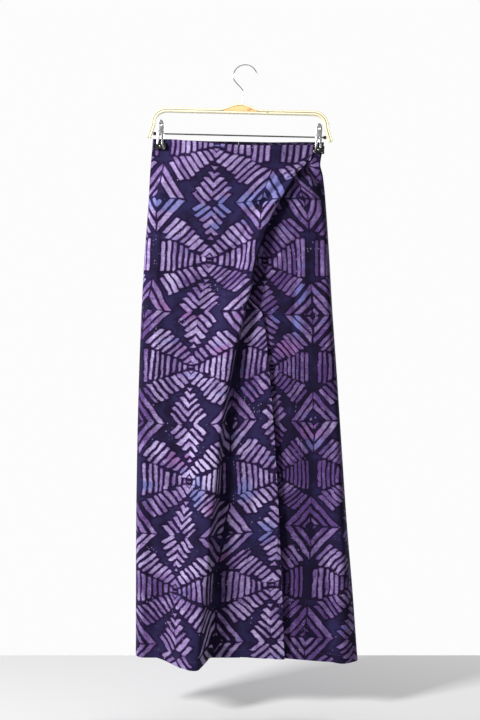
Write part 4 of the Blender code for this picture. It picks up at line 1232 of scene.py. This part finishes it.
def bow_wedge(name, material):
    """The wooden wedge that fills the hump between the strips."""
    bottom = BOW_TOP - BOW_STRIP + SEAT - SEAM
    ends, half, soft = WEDGE_SHARE * HUMP_REACH, WEDGE_DEPTH / 2, WEDGE_SOFT
    rows = []
    for x in np.linspace(-ends, ends, WEDGE_STEPS):
        top = BOW_TOP - BOW_STRIP + hump(x) - SEAT
        rows.append([
            (x + BOW_MIDDLE, y, z) for y, z in (
                (-half + soft, bottom), (half - soft, bottom), (half, bottom + soft), (half, top - soft),
                (half - soft, top), (-half + soft, top), (-half, top - soft), (-half, bottom + soft),
            )
        ])
    points = np.array(rows).reshape(-1, 3)
    made = mesh_of(name, points, tube_faces(len(rows), len(rows[0])), material)
    facing_out(made)
    set_uv(made, "grain", [(x * GRAIN_SCALE, (z + y) * GRAIN_SCALE) for x, y, z in points])
    return made


def blend_curve(start, start_pull, end, end_pull, steps):
    t = np.linspace(0, 1, steps + 1)[:, None]
    start, start_pull, end, end_pull = (np.asarray(v, float) for v in (start, start_pull, end, end_pull))
    return (
        start * (1 - t) ** 3 + (start + start_pull) * 3 * t * (1 - t) ** 2
        + (end - end_pull) * 3 * t * t * (1 - t) + end * t**3
    )


def hook_path():
    """The hook's line: a stem off the bow, a bend and most of a circle about the rail."""
    centre = np.array([0.0, -HOOK_RADIUS + HOOK_WIRE])
    foot = np.array([HOOK_STEM_X, BOW_TOP + hump(HOOK_STEM_X - BOW_MIDDLE) + SEAT])
    left = centre + np.array([-HOOK_RADIUS, 0.0])
    stem = [mix(foot, np.array(HOOK_NECK), share) for share in np.linspace(0, 1, HOOK_STEPS[0])[:-1]]
    bend = list(blend_curve(HOOK_NECK, NECK_PULL, left, CIRCLE_PULL, HOOK_STEPS[1]))
    angles = np.radians(180 - HOOK_SWEEP * np.arange(1, HOOK_STEPS[2] + 1) / HOOK_STEPS[2])
    circle = [centre + HOOK_RADIUS * np.array([math.cos(angle), math.sin(angle)]) for angle in angles]
    return np.array(stem + bend + circle)


def turned(name, profile, place, axis, material, sides=24):
    """A turned piece from (along, radius) pairs, closed at both ends unless its profile is a ring."""
    points = []
    for along, radius in profile:
        for across, up in round_ring(radius, sides):
            spot = (along, across, up) if axis == "X" else (across, along, up)
            points.append([part + shift for part, shift in zip(spot, place)])
    faces = tube_faces(len(profile), sides)
    made = mesh_of(name, points, faces[:-2] if profile[0] == profile[-1] else faces, material)
    facing_out(made, merge=True)
    return made


def applied(made):
    """Turn an object's modifiers into its own mesh."""
    bpy.context.view_layer.update()
    graph = bpy.context.evaluated_depsgraph_get()
    mesh = bpy.data.meshes.new_from_object(made.evaluated_get(graph), depsgraph=graph)
    made.modifiers.clear()
    made.data = mesh


def jaw(name, x, side, rest, material):
    """A clip's sheet jaw, slotted from the bar down, with soft edges."""
    middle = SPRING_RADIUS + SEAT + CLIP_SHEET / 2
    half, slot, out = (Curve(JAWS, column) for column in (1, 2, 3))
    lowest = max(row[3] for row in JAWS if row[0] < PAD_TOP)
    ups = np.concatenate([np.linspace(JAWS[0][0], 0, JAW_ROWS[0]), np.linspace(0, JAWS[-1][0], JAW_ROWS[1])[1:]])
    points, faces = [], []
    for up in ups:
        stands = middle + float(out(up)) * ((rest - middle) / lowest if up < 0 else 1.0)
        wide, open_to = float(half(up)), float(slot(up))
        for across in (-wide, mix(-wide, -open_to, 0.5), -open_to, open_to, mix(wide, open_to, 0.5), wide):
            crown = JAW_CROWN * smooth((up - JAW_CROWN_FROM) / JAW_CROWN_OVER) * (across / JAW_CROWN_HALF) ** 2
            points.append((x + across, side * (stands - crown), BAR_Z + up))
    for i in range(len(ups) - 1):
        for j in range(5):
            if j == 2 and (ups[i] < 0 or JAW_HOLE[0] < ups[i] < JAW_HOLE[1]):
                continue
            a = i * 6 + j
            faces.append((a, a + 1, a + 7, a + 6))
    made = mesh_of(name, points, faces, material)
    sheet = made.modifiers.new("sheet", "SOLIDIFY")
    sheet.thickness, sheet.offset = CLIP_SHEET * MM, 0.0
    edge = made.modifiers.new("edge", "BEVEL")
    edge.width, edge.segments, edge.limit_method = SHEET_EDGE * MM, 2, "ANGLE"
    applied(made)
    facing_out(made)
    made.data.shade_smooth()
    made.data.set_sharp_from_angle(angle=math.radians(SHARP_SOFT))
    return made


def pad(name, x, near, side, material):
    """A rubber pad with rounded corners, and a boot of rubber over the legs of its jaw."""
    far = near + PAD_THICK
    boot = far + SEAT + CLIP_SHEET + BOOT_THICK
    bottom = PAD_TOP - PAD_HEIGHT
    work = bmesh.new()
    for wide, low, high, inner, outer in (
        (PAD_WIDTH, bottom, PAD_TOP, near, far),
        (PAD_WIDTH - BOOT_NARROWER, bottom + BOOT_UP, BOOT_TOP, near + BOOT_IN, boot),
    ):
        for vert in bmesh.ops.create_cube(work, size=1.0)["verts"]:
            vert.co = Vector((
                (x + vert.co.x * wide) * MM,
                side * ((inner + outer) / 2 + vert.co.y * (outer - inner)) * MM,
                (BAR_Z + (low + high) / 2 + vert.co.z * (high - low)) * MM,
            ))
    bmesh.ops.bevel(work, geom=list(work.edges), offset=PAD_EDGE * MM, segments=4, profile=0.5, affect="EDGES")
    bmesh.ops.recalc_face_normals(work, faces=work.faces)
    mesh = bpy.data.meshes.new(name)
    work.to_mesh(mesh)
    work.free()
    return object_of(name, mesh, material, SHARP_SOFT)


def node_tree(name, sockets):
    """A Geometry Nodes tree with named inputs, as the maker of its nodes, its inputs and its last step."""
    tree = bpy.data.node_groups.new(name, "GeometryNodeTree")
    tree.interface.new_socket(name="Geometry", in_out="OUTPUT", socket_type="NodeSocketGeometry")
    for socket, kind in sockets.items():
        tree.interface.new_socket(name=socket, in_out="INPUT", socket_type=f"NodeSocket{kind}")

    def node(kind, settings=None, values=None):
        made = tree.nodes.new(kind)
        for key, value in (settings or {}).items():
            setattr(made, key, value)
        for key, value in (values or {}).items():
            if isinstance(value, bpy.types.NodeSocket):
                tree.links.new(value, made.inputs[key])
            else:
                made.inputs[key].default_value = value
        return made

    def finished(geometry, material):
        real = node("GeometryNodeRealizeInstances", values={"Geometry": geometry})
        done = node("GeometryNodeSetMaterial", values={"Geometry": real.outputs[0], "Material": material})
        node("NodeGroupOutput", values={"Geometry": done.outputs[0]})
        return tree

    return node, node("NodeGroupInput").outputs, finished


def stitch_tree():
    """Short threads laid end to end along lines."""
    node, given, finished = node_tree("stitches", {
        "Lines": "Geometry", "Pitch": "Float", "Length": "Float", "Thickness": "Float", "Thread": "Material",
    })
    curve = node("GeometryNodeMeshToCurve", values={"Mesh": given["Lines"]})
    points = node(
        "GeometryNodeCurveToPoints", {"mode": "LENGTH"}, {"Curve": curve.outputs[0], "Length": given["Pitch"]}
    )
    shape = node("GeometryNodeMeshUVSphere", values={"Segments": 6, "Rings": 4, "Radius": 0.5})
    size = node("ShaderNodeCombineXYZ", values={
        "X": given["Length"], "Y": given["Thickness"], "Z": given["Thickness"],
    })
    way = node("FunctionNodeAlignRotationToVector", {"axis": "X"}, {"Vector": points.outputs["Tangent"]})
    laid = node("GeometryNodeInstanceOnPoints", values={
        "Points": points.outputs["Points"], "Instance": shape.outputs["Mesh"],
        "Rotation": way.outputs[0], "Scale": size.outputs[0],
    })
    return finished(laid.outputs[0], given["Thread"])


def coil_tree():
    """A wire wound into a coil along Z."""
    node, given, finished = node_tree("coil", {
        "Start": "Geometry", "Turns": "Float", "Radius": "Float", "Height": "Float", "Wire": "Float",
        "Metal": "Material",
    })
    spiral = node("GeometryNodeCurveSpiral", values={
        "Resolution": 18, "Rotations": given["Turns"], "Start Radius": given["Radius"],
        "End Radius": given["Radius"], "Height": given["Height"],
    })
    ring = node("GeometryNodeCurvePrimitiveCircle", values={"Resolution": 10, "Radius": given["Wire"]})
    tube = node("GeometryNodeCurveToMesh", values={
        "Curve": spiral.outputs[0], "Profile Curve": ring.outputs[0], "Fill Caps": True,
    })
    return finished(tube.outputs[0], given["Metal"])


def grown(name, mesh, tree, values):
    """A plain mesh from a Geometry Nodes tree run on a starting mesh."""
    made = linked(bpy.data.objects.new(name, mesh))
    nodes = made.modifiers.new(name, "NODES")
    nodes.node_group = tree
    for item in tree.interface.items_tree:
        if item.in_out == "INPUT" and item.name in values:
            nodes[item.identifier] = values[item.name]
    applied(made)
    made.data.shade_smooth()
    return made


def line_mesh(name, lines):
    """A mesh of open lines from lists of points in millimetres."""
    points, edges = [], []
    for line in lines:
        start = len(points)
        points += (np.asarray(line) * MM).tolist()
        edges += [(start + k, start + k + 1) for k in range(len(line) - 1)]
    mesh = bpy.data.meshes.new(name)
    mesh.from_pydata(points, edges, [])
    return mesh


def across_line(grid, normals, drops, drop):
    """A stitch line that runs across a panel at one drop."""
    i = max(1, int(np.searchsorted(drops, drop)))
    share = (drop - drops[i - 1]) / (drops[i] - drops[i - 1])
    return (mix(grid[i - 1], grid[i], share) + normals[i] * STITCH_PROUD)[STITCH_SKIP:-STITCH_SKIP]


def down_line(grid, normals, inside):
    """A stitch line that runs down a panel, a distance inside its last column."""
    points, run = [], arcs(grid)
    for i in range(STITCH_SKIP, len(grid)):
        place = run[i, -1] - inside
        j = int(np.clip(np.searchsorted(run[i], place), 1, len(run[i]) - 1))
        share = (place - run[i, j - 1]) / max(run[i, j] - run[i, j - 1], 1e-9)
        points.append(mix(grid[i, j - 1], grid[i, j], share) + normals[i, j] * STITCH_PROUD)
    return np.array(points)


def fitted(made, nodes=()):
    """Give a finished piece its body, and hide the frame's nodes that it stands for."""
    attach(made, "root")
    if nodes:
        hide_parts(*nodes)


def hang(made, slot, *nodes):
    """Tilt a hanger piece about its hook, and fit it."""
    made.data.transform(TILT)
    fitted(made, nodes)


# The panels' stitch lines, kept for the sewing
STITCHED = []


def dye(name, description, default):
    """A colour that a user can change."""
    return FloatVectorProperty(
        name=name, description=description, default=default, subtype="COLOR", min=0, max=1,
    )


class ClothSettings(bpy.types.PropertyGroup):
    """Cloth, print and sewing."""

    thickness: FloatProperty(
        name="Thickness", description="How thick the cotton is drawn", default=0.0006, min=0.0003, max=0.0011,
        precision=5, unit="LENGTH",
    )
    thread: FloatProperty(
        name="Thread", description="Distance between two threads of the weave, in millimetres", default=0.55,
        min=0.2, max=2.0,
    )
    stitch: FloatProperty(
        name="Stitch", description="Length of one stitch", default=0.0026, min=0.001, max=0.006, precision=5,
        unit="LENGTH",
    )
    rows: IntProperty(name="Rows", description="Rows of faces down the wrap", default=236, min=60, max=260)
    bar_pale: dye("Pale bars", "Palest dye of the printed bars", linear(166, 154, 190))
    bar_colour: dye("Bars", "Usual dye of the printed bars", linear(118, 98, 142))
    bar_deep: dye("Deep bars", "Deepest dye of the printed bars", linear(76, 52, 104))
    bar_edge: dye("Bar edges", "Dye where a bar meets the ground", linear(74, 54, 98))
    bar_blue: dye("Blue dye", "Stray blue dye on the bars", linear(92, 98, 152))
    bar_pink: dye("Pink dye", "Stray pink dye on the bars", linear(122, 82, 136))
    ground_by_bars: dye("Ground by the bars", "Ground dye close to the bars", linear(22, 8, 40))
    ground_open: dye("Open ground", "Ground dye away from the bars", linear(34, 28, 62))
    # Also the colour of the painted shade on the cloth's reverse face
    ground_dark_and_reverse_shade: dye("Dark ground", "Darkest ground dye", linear(17, 9, 30))
    ground_blue: dye("Blue ground", "Stray blue dye on the ground", linear(30, 34, 76))
    thread_colour: dye("Sewing thread", "Colour of the stitches", linear(46, 34, 78))


class HangerSettings(bpy.types.PropertyGroup):
    """Wood, metal and rubber of the hanger."""

    birch_pale: dye("Birch", "Pale birch of the bow", linear(229, 225, 198))
    birch_streak: dye("Birch streaks", "Darker streaks of the bow", linear(224, 215, 180))
    # Also the colour of the painted shade along the bow strips' rounded corners
    birch_pores_and_edge_shade: dye("Birch edges", "Edges and pores of the bow", linear(140, 112, 66))
    birch_knot: dye("Birch knot", "Small knot in the bow", linear(84, 54, 34))
    wedge_pale: dye("Wedge", "Orange-tan wood of the wedge", linear(229, 194, 138))
    wedge_streak: dye("Wedge streaks", "Darker streaks of the wedge", linear(217, 171, 107))
    wedge_patch: dye("Wedge patch", "Brown patch in the wedge", linear(176, 116, 66))
    chrome: dye("Chrome", "Plated wire and clips", (0.86, 0.86, 0.87))
    steel: dye("Bar steel", "Darkened steel of the bar", (0.20, 0.20, 0.20))
    rubber: dye("Rubber", "Black rubber of the pads and the bar's ends", (0.006, 0.006, 0.0065))
    coil_turns: IntProperty(name="Coil turns", description="Turns of each clip's spring", default=7, min=3, max=12)


class StageSettings(bpy.types.PropertyGroup):
    """Camera, lights, floor and surroundings."""

    distance: FloatProperty(
        name="Camera distance", description="How far the camera stands in front", default=2.2, min=1.0, max=5.0,
        unit="LENGTH",
    )
    key_power: FloatProperty(
        name="Key light", description="Power of the light at the upper left", default=117.0, min=0.0,
        max=200.0, unit="POWER",
    )
    back_power: FloatProperty(
        name="Back light", description="Power of the light behind", default=50.0, min=0.0, max=200.0, unit="POWER",
    )
    behind: FloatProperty(
        name="Behind", description="Brightness of the pale surroundings behind", default=0.985, min=0.0, max=2.0,
    )
    before: FloatProperty(
        name="Before", description="Brightness of the surroundings on the camera's side", default=0.21, min=0.0,
        max=2.0,
    )
    floor_colour: dye("Floor", "Pale floor", (0.44, 0.44, 0.445))


CAMERA_X = -0.0112
CAMERA_Z = -0.6008
VIEW_HEIGHT = 1.4688
SENSOR = 24.0
FLOOR_Z = -1.31
# The floor's reach from left to right and from front to back, in millimetres
FLOOR_ACROSS = (-6000, 6000)
FLOOR_DEEP = (-7000, 390)
# Each light's place, width and height, and where they all aim
LIGHTS = {"key": ((-1.75, -1.35, 0.45), 0.5, 0.7), "back": ((1.3, 1.6, 0.4), 0.8, 0.8)}
LIGHTS_AIM = (0.0, 0.0, -0.60)
# The surroundings' colour, how much they turn to the right, and where they go from dim to bright
WORLD_COLOUR = (0.985, 0.988, 0.985, 1.0)
WORLD_TURN = -0.50
WORLD_FROM_TO = (-0.55, 0.8)


def hemmed(grid, drops, thickness, free_edge):
    """Raise a panel's turned hems a little, and give the cloth's thickness at each point."""
    normals = grid_normals(grid)
    run = arcs(grid)
    raised = np.maximum((drops > LENGTH - HEM_DEEP)[:, None], (drops < WAIST_DEEP)[:, None])
    raised = np.broadcast_to(raised, run.shape)
    if free_edge:
        raised = np.maximum(raised, run[:, -1:] - run < EDGE_DEEP)
    raised = raised.astype(float)
    return grid + normals * (raised * HEM_RAISED * 0.5)[:, :, None], thickness + raised * HEM_RAISED


def panel(context, name, count, row_at, side, chart, lift=0.0, free_edge=False):
    """A printed and hemmed panel of cloth, and its middle width along the cloth. Its stitch lines are kept."""
    cloth, drops = context.scene.wrap_cloth, cloth_drops(count)
    grid = np.array([row_at(drop) for drop in drops])
    uv = printed(grid, drops, chart, lift)
    grid, thick = hemmed(grid, drops, cloth.thickness / MM, free_edge)
    made = cloth_shell(f"{name}_cloth", grid, side, uv, thick, made_once("printed_cotton", batik, cloth))
    normals = grid_normals(grid)
    for drop in (LENGTH - HEM_DEEP + STITCH_IN, WAIST_DEEP - STITCH_IN):
        STITCHED.append(across_line(grid, normals, drops, drop))
    if free_edge:
        STITCHED.append(down_line(grid, normals, EDGE_DEEP - STITCH_IN))
    return made, float(np.median(arcs(grid)[:, -1])) * MM


class WRAP_PANTS_OT_wrap(bpy.types.Operator):
    """Build the front overlap with its big standing fold"""

    bl_idname = "wrap_pants.wrap"
    bl_label = "Front Wrap"

    def execute(self, context):
        rows = context.scene.wrap_cloth.rows
        made, wide = panel(context, "wrap", rows, wrap_row, -1, WRAP_PRINT, WRAP_PRINT_LIFT, True)
        fitted(made, ["front_wrap"])
        return {"FINISHED"}


LEG_PANELS = {
    "left_front": ("left", -1, 40, 110, LEFT_FRONT_CREASES, LEFT_FRONT_PRINT),
    "right_front": ("right", -1, 84, 226, RIGHT_FRONT_CREASES, RIGHT_FRONT_PRINT),
    "left_back": ("left", 1, 62, 170, BACK_CREASES, LEFT_BACK_PRINT),
    "right_back": ("right", 1, 62, 170, BACK_CREASES, RIGHT_BACK_PRINT),
}


class WRAP_PANTS_OT_legs(bpy.types.Operator):
    """Build the fronts and backs of the two legs"""

    bl_idname = "wrap_pants.legs"
    bl_label = "Legs"

    def execute(self, context):
        for name, (outer, side, columns, count, creases, chart) in LEG_PANELS.items():
            row_at = partial(leg_row, outer, side, columns, creases)
            made, wide = panel(context, name, count, row_at, side, chart)
            word = "front" if side < 0 else "back"
            fitted(made, [f"{outer}_leg_{word}"])
        return {"FINISHED"}


class WRAP_PANTS_OT_sewing(bpy.types.Operator):
    """Sew the hems, the waist and the free edge"""

    bl_idname = "wrap_pants.sewing"
    bl_label = "Sewing"

    def execute(self, context):
        cloth = context.scene.wrap_cloth
        sewn = thread("sewing_thread", tuple(cloth.thread_colour), linear(64, 50, 96))
        made = grown("hem_stitches", line_mesh("stitch_lines", STITCHED), stitch_tree(), {
            "Pitch": cloth.stitch * STITCH_PITCH, "Length": cloth.stitch, "Thickness": STITCH_THICK, "Thread": sewn,
        })
        fitted(made)
        return {"FINISHED"}


class WRAP_PANTS_OT_bow(bpy.types.Operator):
    """Build the bentwood bow and its wedge"""

    bl_idname = "wrap_pants.bow"
    bl_label = "Bow"

    def execute(self, context):
        wooden = context.scene.wrap_hanger
        birch = made_once("pale_birch", bent_birch, wooden)
        offset = (BOW_STRIP + SEAM) / 2
        hang(bow_strip("bow_strip_outside", offset, True, birch), "bentwood", "bow_outer_strip")
        hang(bow_strip("bow_strip_inside", -offset, False, birch), "bentwood", "bow_inner_strip")
        hang(bow_wedge("hump_wedge", made_once("tan_wood", wedge_wood, wooden)), "wedge_wood", "bow_wedge")
        return {"FINISHED"}


class WRAP_PANTS_OT_hook(bpy.types.Operator):
    """Build the wire hook, the bar and its end caps"""

    bl_idname = "wrap_pants.hook_and_bar"
    bl_label = "Hook and Bar"

    def execute(self, context):
        hanger = context.scene.wrap_hanger
        chrome = made_once("bright_plating", metal, tuple(hanger.chrome), (0.60, 0.58, 0.56), 0.12, 0.10)
        steel = made_once("bar_steel", metal, tuple(hanger.steel), (0.10, 0.09, 0.08), 0.30, 0.20)
        black = made_once("pad_rubber", rubber, tuple(hanger.rubber), (0.022, 0.022, 0.022))
        hook = sweep("hanger_hook_wire", hook_path(), round_ring(HOOK_WIRE), chrome, caps=0.9)
        hang(hook, "chrome_wire", "hook_wire")
        across = np.linspace(BOW_MIDDLE - BAR_HALF, BOW_MIDDLE + BAR_HALF, BAR_STEPS)
        line = np.column_stack([across, np.full(BAR_STEPS, BAR_Z)])
        hang(sweep("bar_rod", line, round_ring(BAR_RADIUS), steel), "dark_steel", "cross_bar")
        half, outer, inner = BAR_END_LENGTH / 2, BAR_END_RADIUS, BAR_RADIUS + SEAT
        edge, soft = BAR_END_EDGE, BAR_END_SOFT
        profile = [
            (-half, inner), (-half, outer - edge), (-half + soft, outer - soft), (-half + edge, outer),
            (half - edge, outer), (half - soft, outer - soft), (half, outer - edge), (half, inner), (-half, inner),
        ]
        for name, side in (("left", -1), ("right", 1)):
            place = (BOW_MIDDLE + side * (BAR_HALF - half), 0.0, BAR_Z)
            hang(turned(f"bar_cap_{name}", profile, place, "X", black), "black_rubber", f"bar_end_{name}")
        return {"FINISHED"}


class WRAP_PANTS_OT_clips(bpy.types.Operator):
    """Build the two clips with their jaws, pads, springs, rivets and toes"""

    bl_idname = "wrap_pants.clips"
    bl_label = "Clips"

    def execute(self, context):
        hanger = context.scene.wrap_hanger
        chrome, black = bpy.data.materials["bright_plating"], bpy.data.materials["pad_rubber"]
        plated = made_once("clip_plating", metal, tuple(hanger.chrome), (0.50, 0.49, 0.48), 0.26, 0.12)
        tree = coil_tree()
        for name, place in CLIP_PLACES.items():
            x = BOW_MIDDLE + place
            spring = grown(f"spring_{name}", line_mesh("coil_start", []), tree, {
                "Turns": float(hanger.coil_turns), "Radius": (SPRING_RADIUS - SPRING_WIRE) * MM,
                "Height": (SPRING_LENGTH - 2 * SPRING_WIRE) * MM, "Wire": SPRING_WIRE * MM, "Metal": chrome,
            })
            lay = Matrix.Translation(Vector((x - SPRING_LENGTH / 2 + SPRING_WIRE, 0.0, BAR_Z)) * MM)
            spring.data.transform(lay @ Matrix.Rotation(math.pi / 2, 4, "Y"))
            facing_out(spring)
            hang(spring, "chrome_wire", f"clip_{name}_spring")
            for word, side, face in (("front", -1, FRONT_FACE), ("back", 1, BACK_FACE)):
                rest = face + PAD_THICK + SEAT + CLIP_SHEET / 2
                hang(pad(f"pad_{name}_{word}", x, face, side, black), "black_rubber", f"clip_{name}_{word}_pad")
                hang(jaw(f"jaw_{name}_{word}", x, side, rest, plated), "chrome_wire", f"clip_{name}_{word}_jaw")
                head = side * (face + PAD_THICK + SEAT + CLIP_SHEET + BOOT_THICK)
                profile = [(head + side * out, radius) for out, radius in RIVET]
                middle = (x, 0.0, BAR_Z + PAD_TOP - RIVET_DOWN)
                hang(turned(f"rivet_{name}_{word}", profile, middle, "Y", chrome, 16), "chrome_wire")
            inwards = -1 if place > 0 else 1
            line = [(x + inwards * across, BAR_Z + up) for across, up in TOE]
            toe = sweep(f"toe_{name}", line, rounded_ring(*TOE_SIZE), chrome, caps=0.3)
            proud = FRONT_FACE + PAD_THICK + SEAT + CLIP_SHEET + BOOT_THICK + TOE_OUT
            toe.data.transform(Matrix.Translation((0.0, -proud * MM, 0.0)))
            hang(toe, "chrome_wire")
        return {"FINISHED"}


class WRAP_PANTS_OT_stage(bpy.types.Operator):
    """Set up the floor, the lights, the pale surroundings and the camera"""

    bl_idname = "wrap_pants.stage"
    bl_label = "Stage"

    def execute(self, context):
        stage, scene = context.scene.wrap_stage, context.scene
        (left, right), (front, back), down = FLOOR_ACROSS, FLOOR_DEEP, FLOOR_Z / MM
        corners = [(left, front, down), (right, front, down), (right, back, down), (left, back, down)]
        floor = mesh_of("floor", corners, [(0, 1, 2, 3)], floor_paint(stage))

        data = bpy.data.cameras.new("camera")
        data.sensor_fit, data.sensor_height = "VERTICAL", SENSOR
        data.lens = SENSOR * stage.distance / VIEW_HEIGHT
        camera = bpy.data.objects.new("camera", data)
        camera.location = (CAMERA_X, -stage.distance, CAMERA_Z)
        camera.rotation_euler = (math.pi / 2, 0.0, 0.0)
        scene.camera = linked(camera)

        for name, (place, wide, tall) in LIGHTS.items():
            light = bpy.data.lights.new(name, "AREA")
            light.shape, light.size, light.size_y = "RECTANGLE", wide, tall
            light.energy = getattr(stage, f"{name}_power")
            lamp = bpy.data.objects.new(name, light)
            lamp.location = place
            aim = Vector(LIGHTS_AIM) - lamp.location
            lamp.rotation_euler = aim.to_track_quat("-Z", "Y").to_euler()
            linked(lamp)

        world = bpy.data.worlds.new("pale_surroundings")
        world.use_nodes = True
        tree = world.node_tree
        background = tree.nodes["Background"]
        background.inputs["Color"].default_value = WORLD_COLOUR
        way = tree.nodes.new("ShaderNodeTexCoord")
        parts = tree.nodes.new("ShaderNodeSeparateXYZ")
        turn = tree.nodes.new("ShaderNodeMath")
        turn.operation = "MULTIPLY_ADD"
        turn.inputs[1].default_value = WORLD_TURN
        fade = tree.nodes.new("ShaderNodeMapRange")
        fade.interpolation_type = "SMOOTHSTEP"
        for key, value in enumerate((*WORLD_FROM_TO, stage.before, stage.behind), 1):
            fade.inputs[key].default_value = value
        tree.links.new(way.outputs["Generated"], parts.inputs[0])
        tree.links.new(parts.outputs["X"], turn.inputs[0])
        tree.links.new(parts.outputs["Y"], turn.inputs[2])
        tree.links.new(turn.outputs[0], fade.inputs[0])
        tree.links.new(fade.outputs[0], background.inputs["Strength"])
        scene.world = world
        scene.view_settings.view_transform = "Standard"
        return {"FINISHED"}


class WRAP_PANTS_PT_panel(bpy.types.Panel):
    """Sizes, colours and steps"""

    bl_label = "Wrap Pants"
    bl_idname = "WRAP_PANTS_PT_panel"
    bl_space_type = "VIEW_3D"
    bl_region_type = "UI"
    bl_category = "Wrap Pants"

    def draw(self, context):
        layout = self.layout
        for step in STEPS:
            layout.operator(step.bl_idname)
        for settings in (context.scene.wrap_cloth, context.scene.wrap_hanger, context.scene.wrap_stage):
            box = layout.box()
            for name in settings.bl_rna.properties.keys():
                if name not in ("rna_type", "name"):
                    box.prop(settings, name)


STEPS = [
    WRAP_PANTS_OT_wrap, WRAP_PANTS_OT_legs, WRAP_PANTS_OT_sewing, WRAP_PANTS_OT_bow, WRAP_PANTS_OT_hook,
    WRAP_PANTS_OT_clips, WRAP_PANTS_OT_stage,
]
SETTINGS = [("wrap_cloth", ClothSettings), ("wrap_hanger", HangerSettings), ("wrap_stage", StageSettings)]


def register():
    for name, settings in SETTINGS:
        bpy.utils.register_class(settings)
        setattr(bpy.types.Scene, name, PointerProperty(type=settings))
    for step in STEPS + [WRAP_PANTS_PT_panel]:
        bpy.utils.register_class(step)


def unregister():
    for step in reversed(STEPS + [WRAP_PANTS_PT_panel]):
        bpy.utils.unregister_class(step)
    for name, settings in reversed(SETTINGS):
        delattr(bpy.types.Scene, name)
        bpy.utils.unregister_class(settings)


def main():
    register()
    for step in STEPS:
        group, name = step.bl_idname.split(".")
        getattr(getattr(bpy.ops, group), name)()


if __name__ == "__main__":
    main()
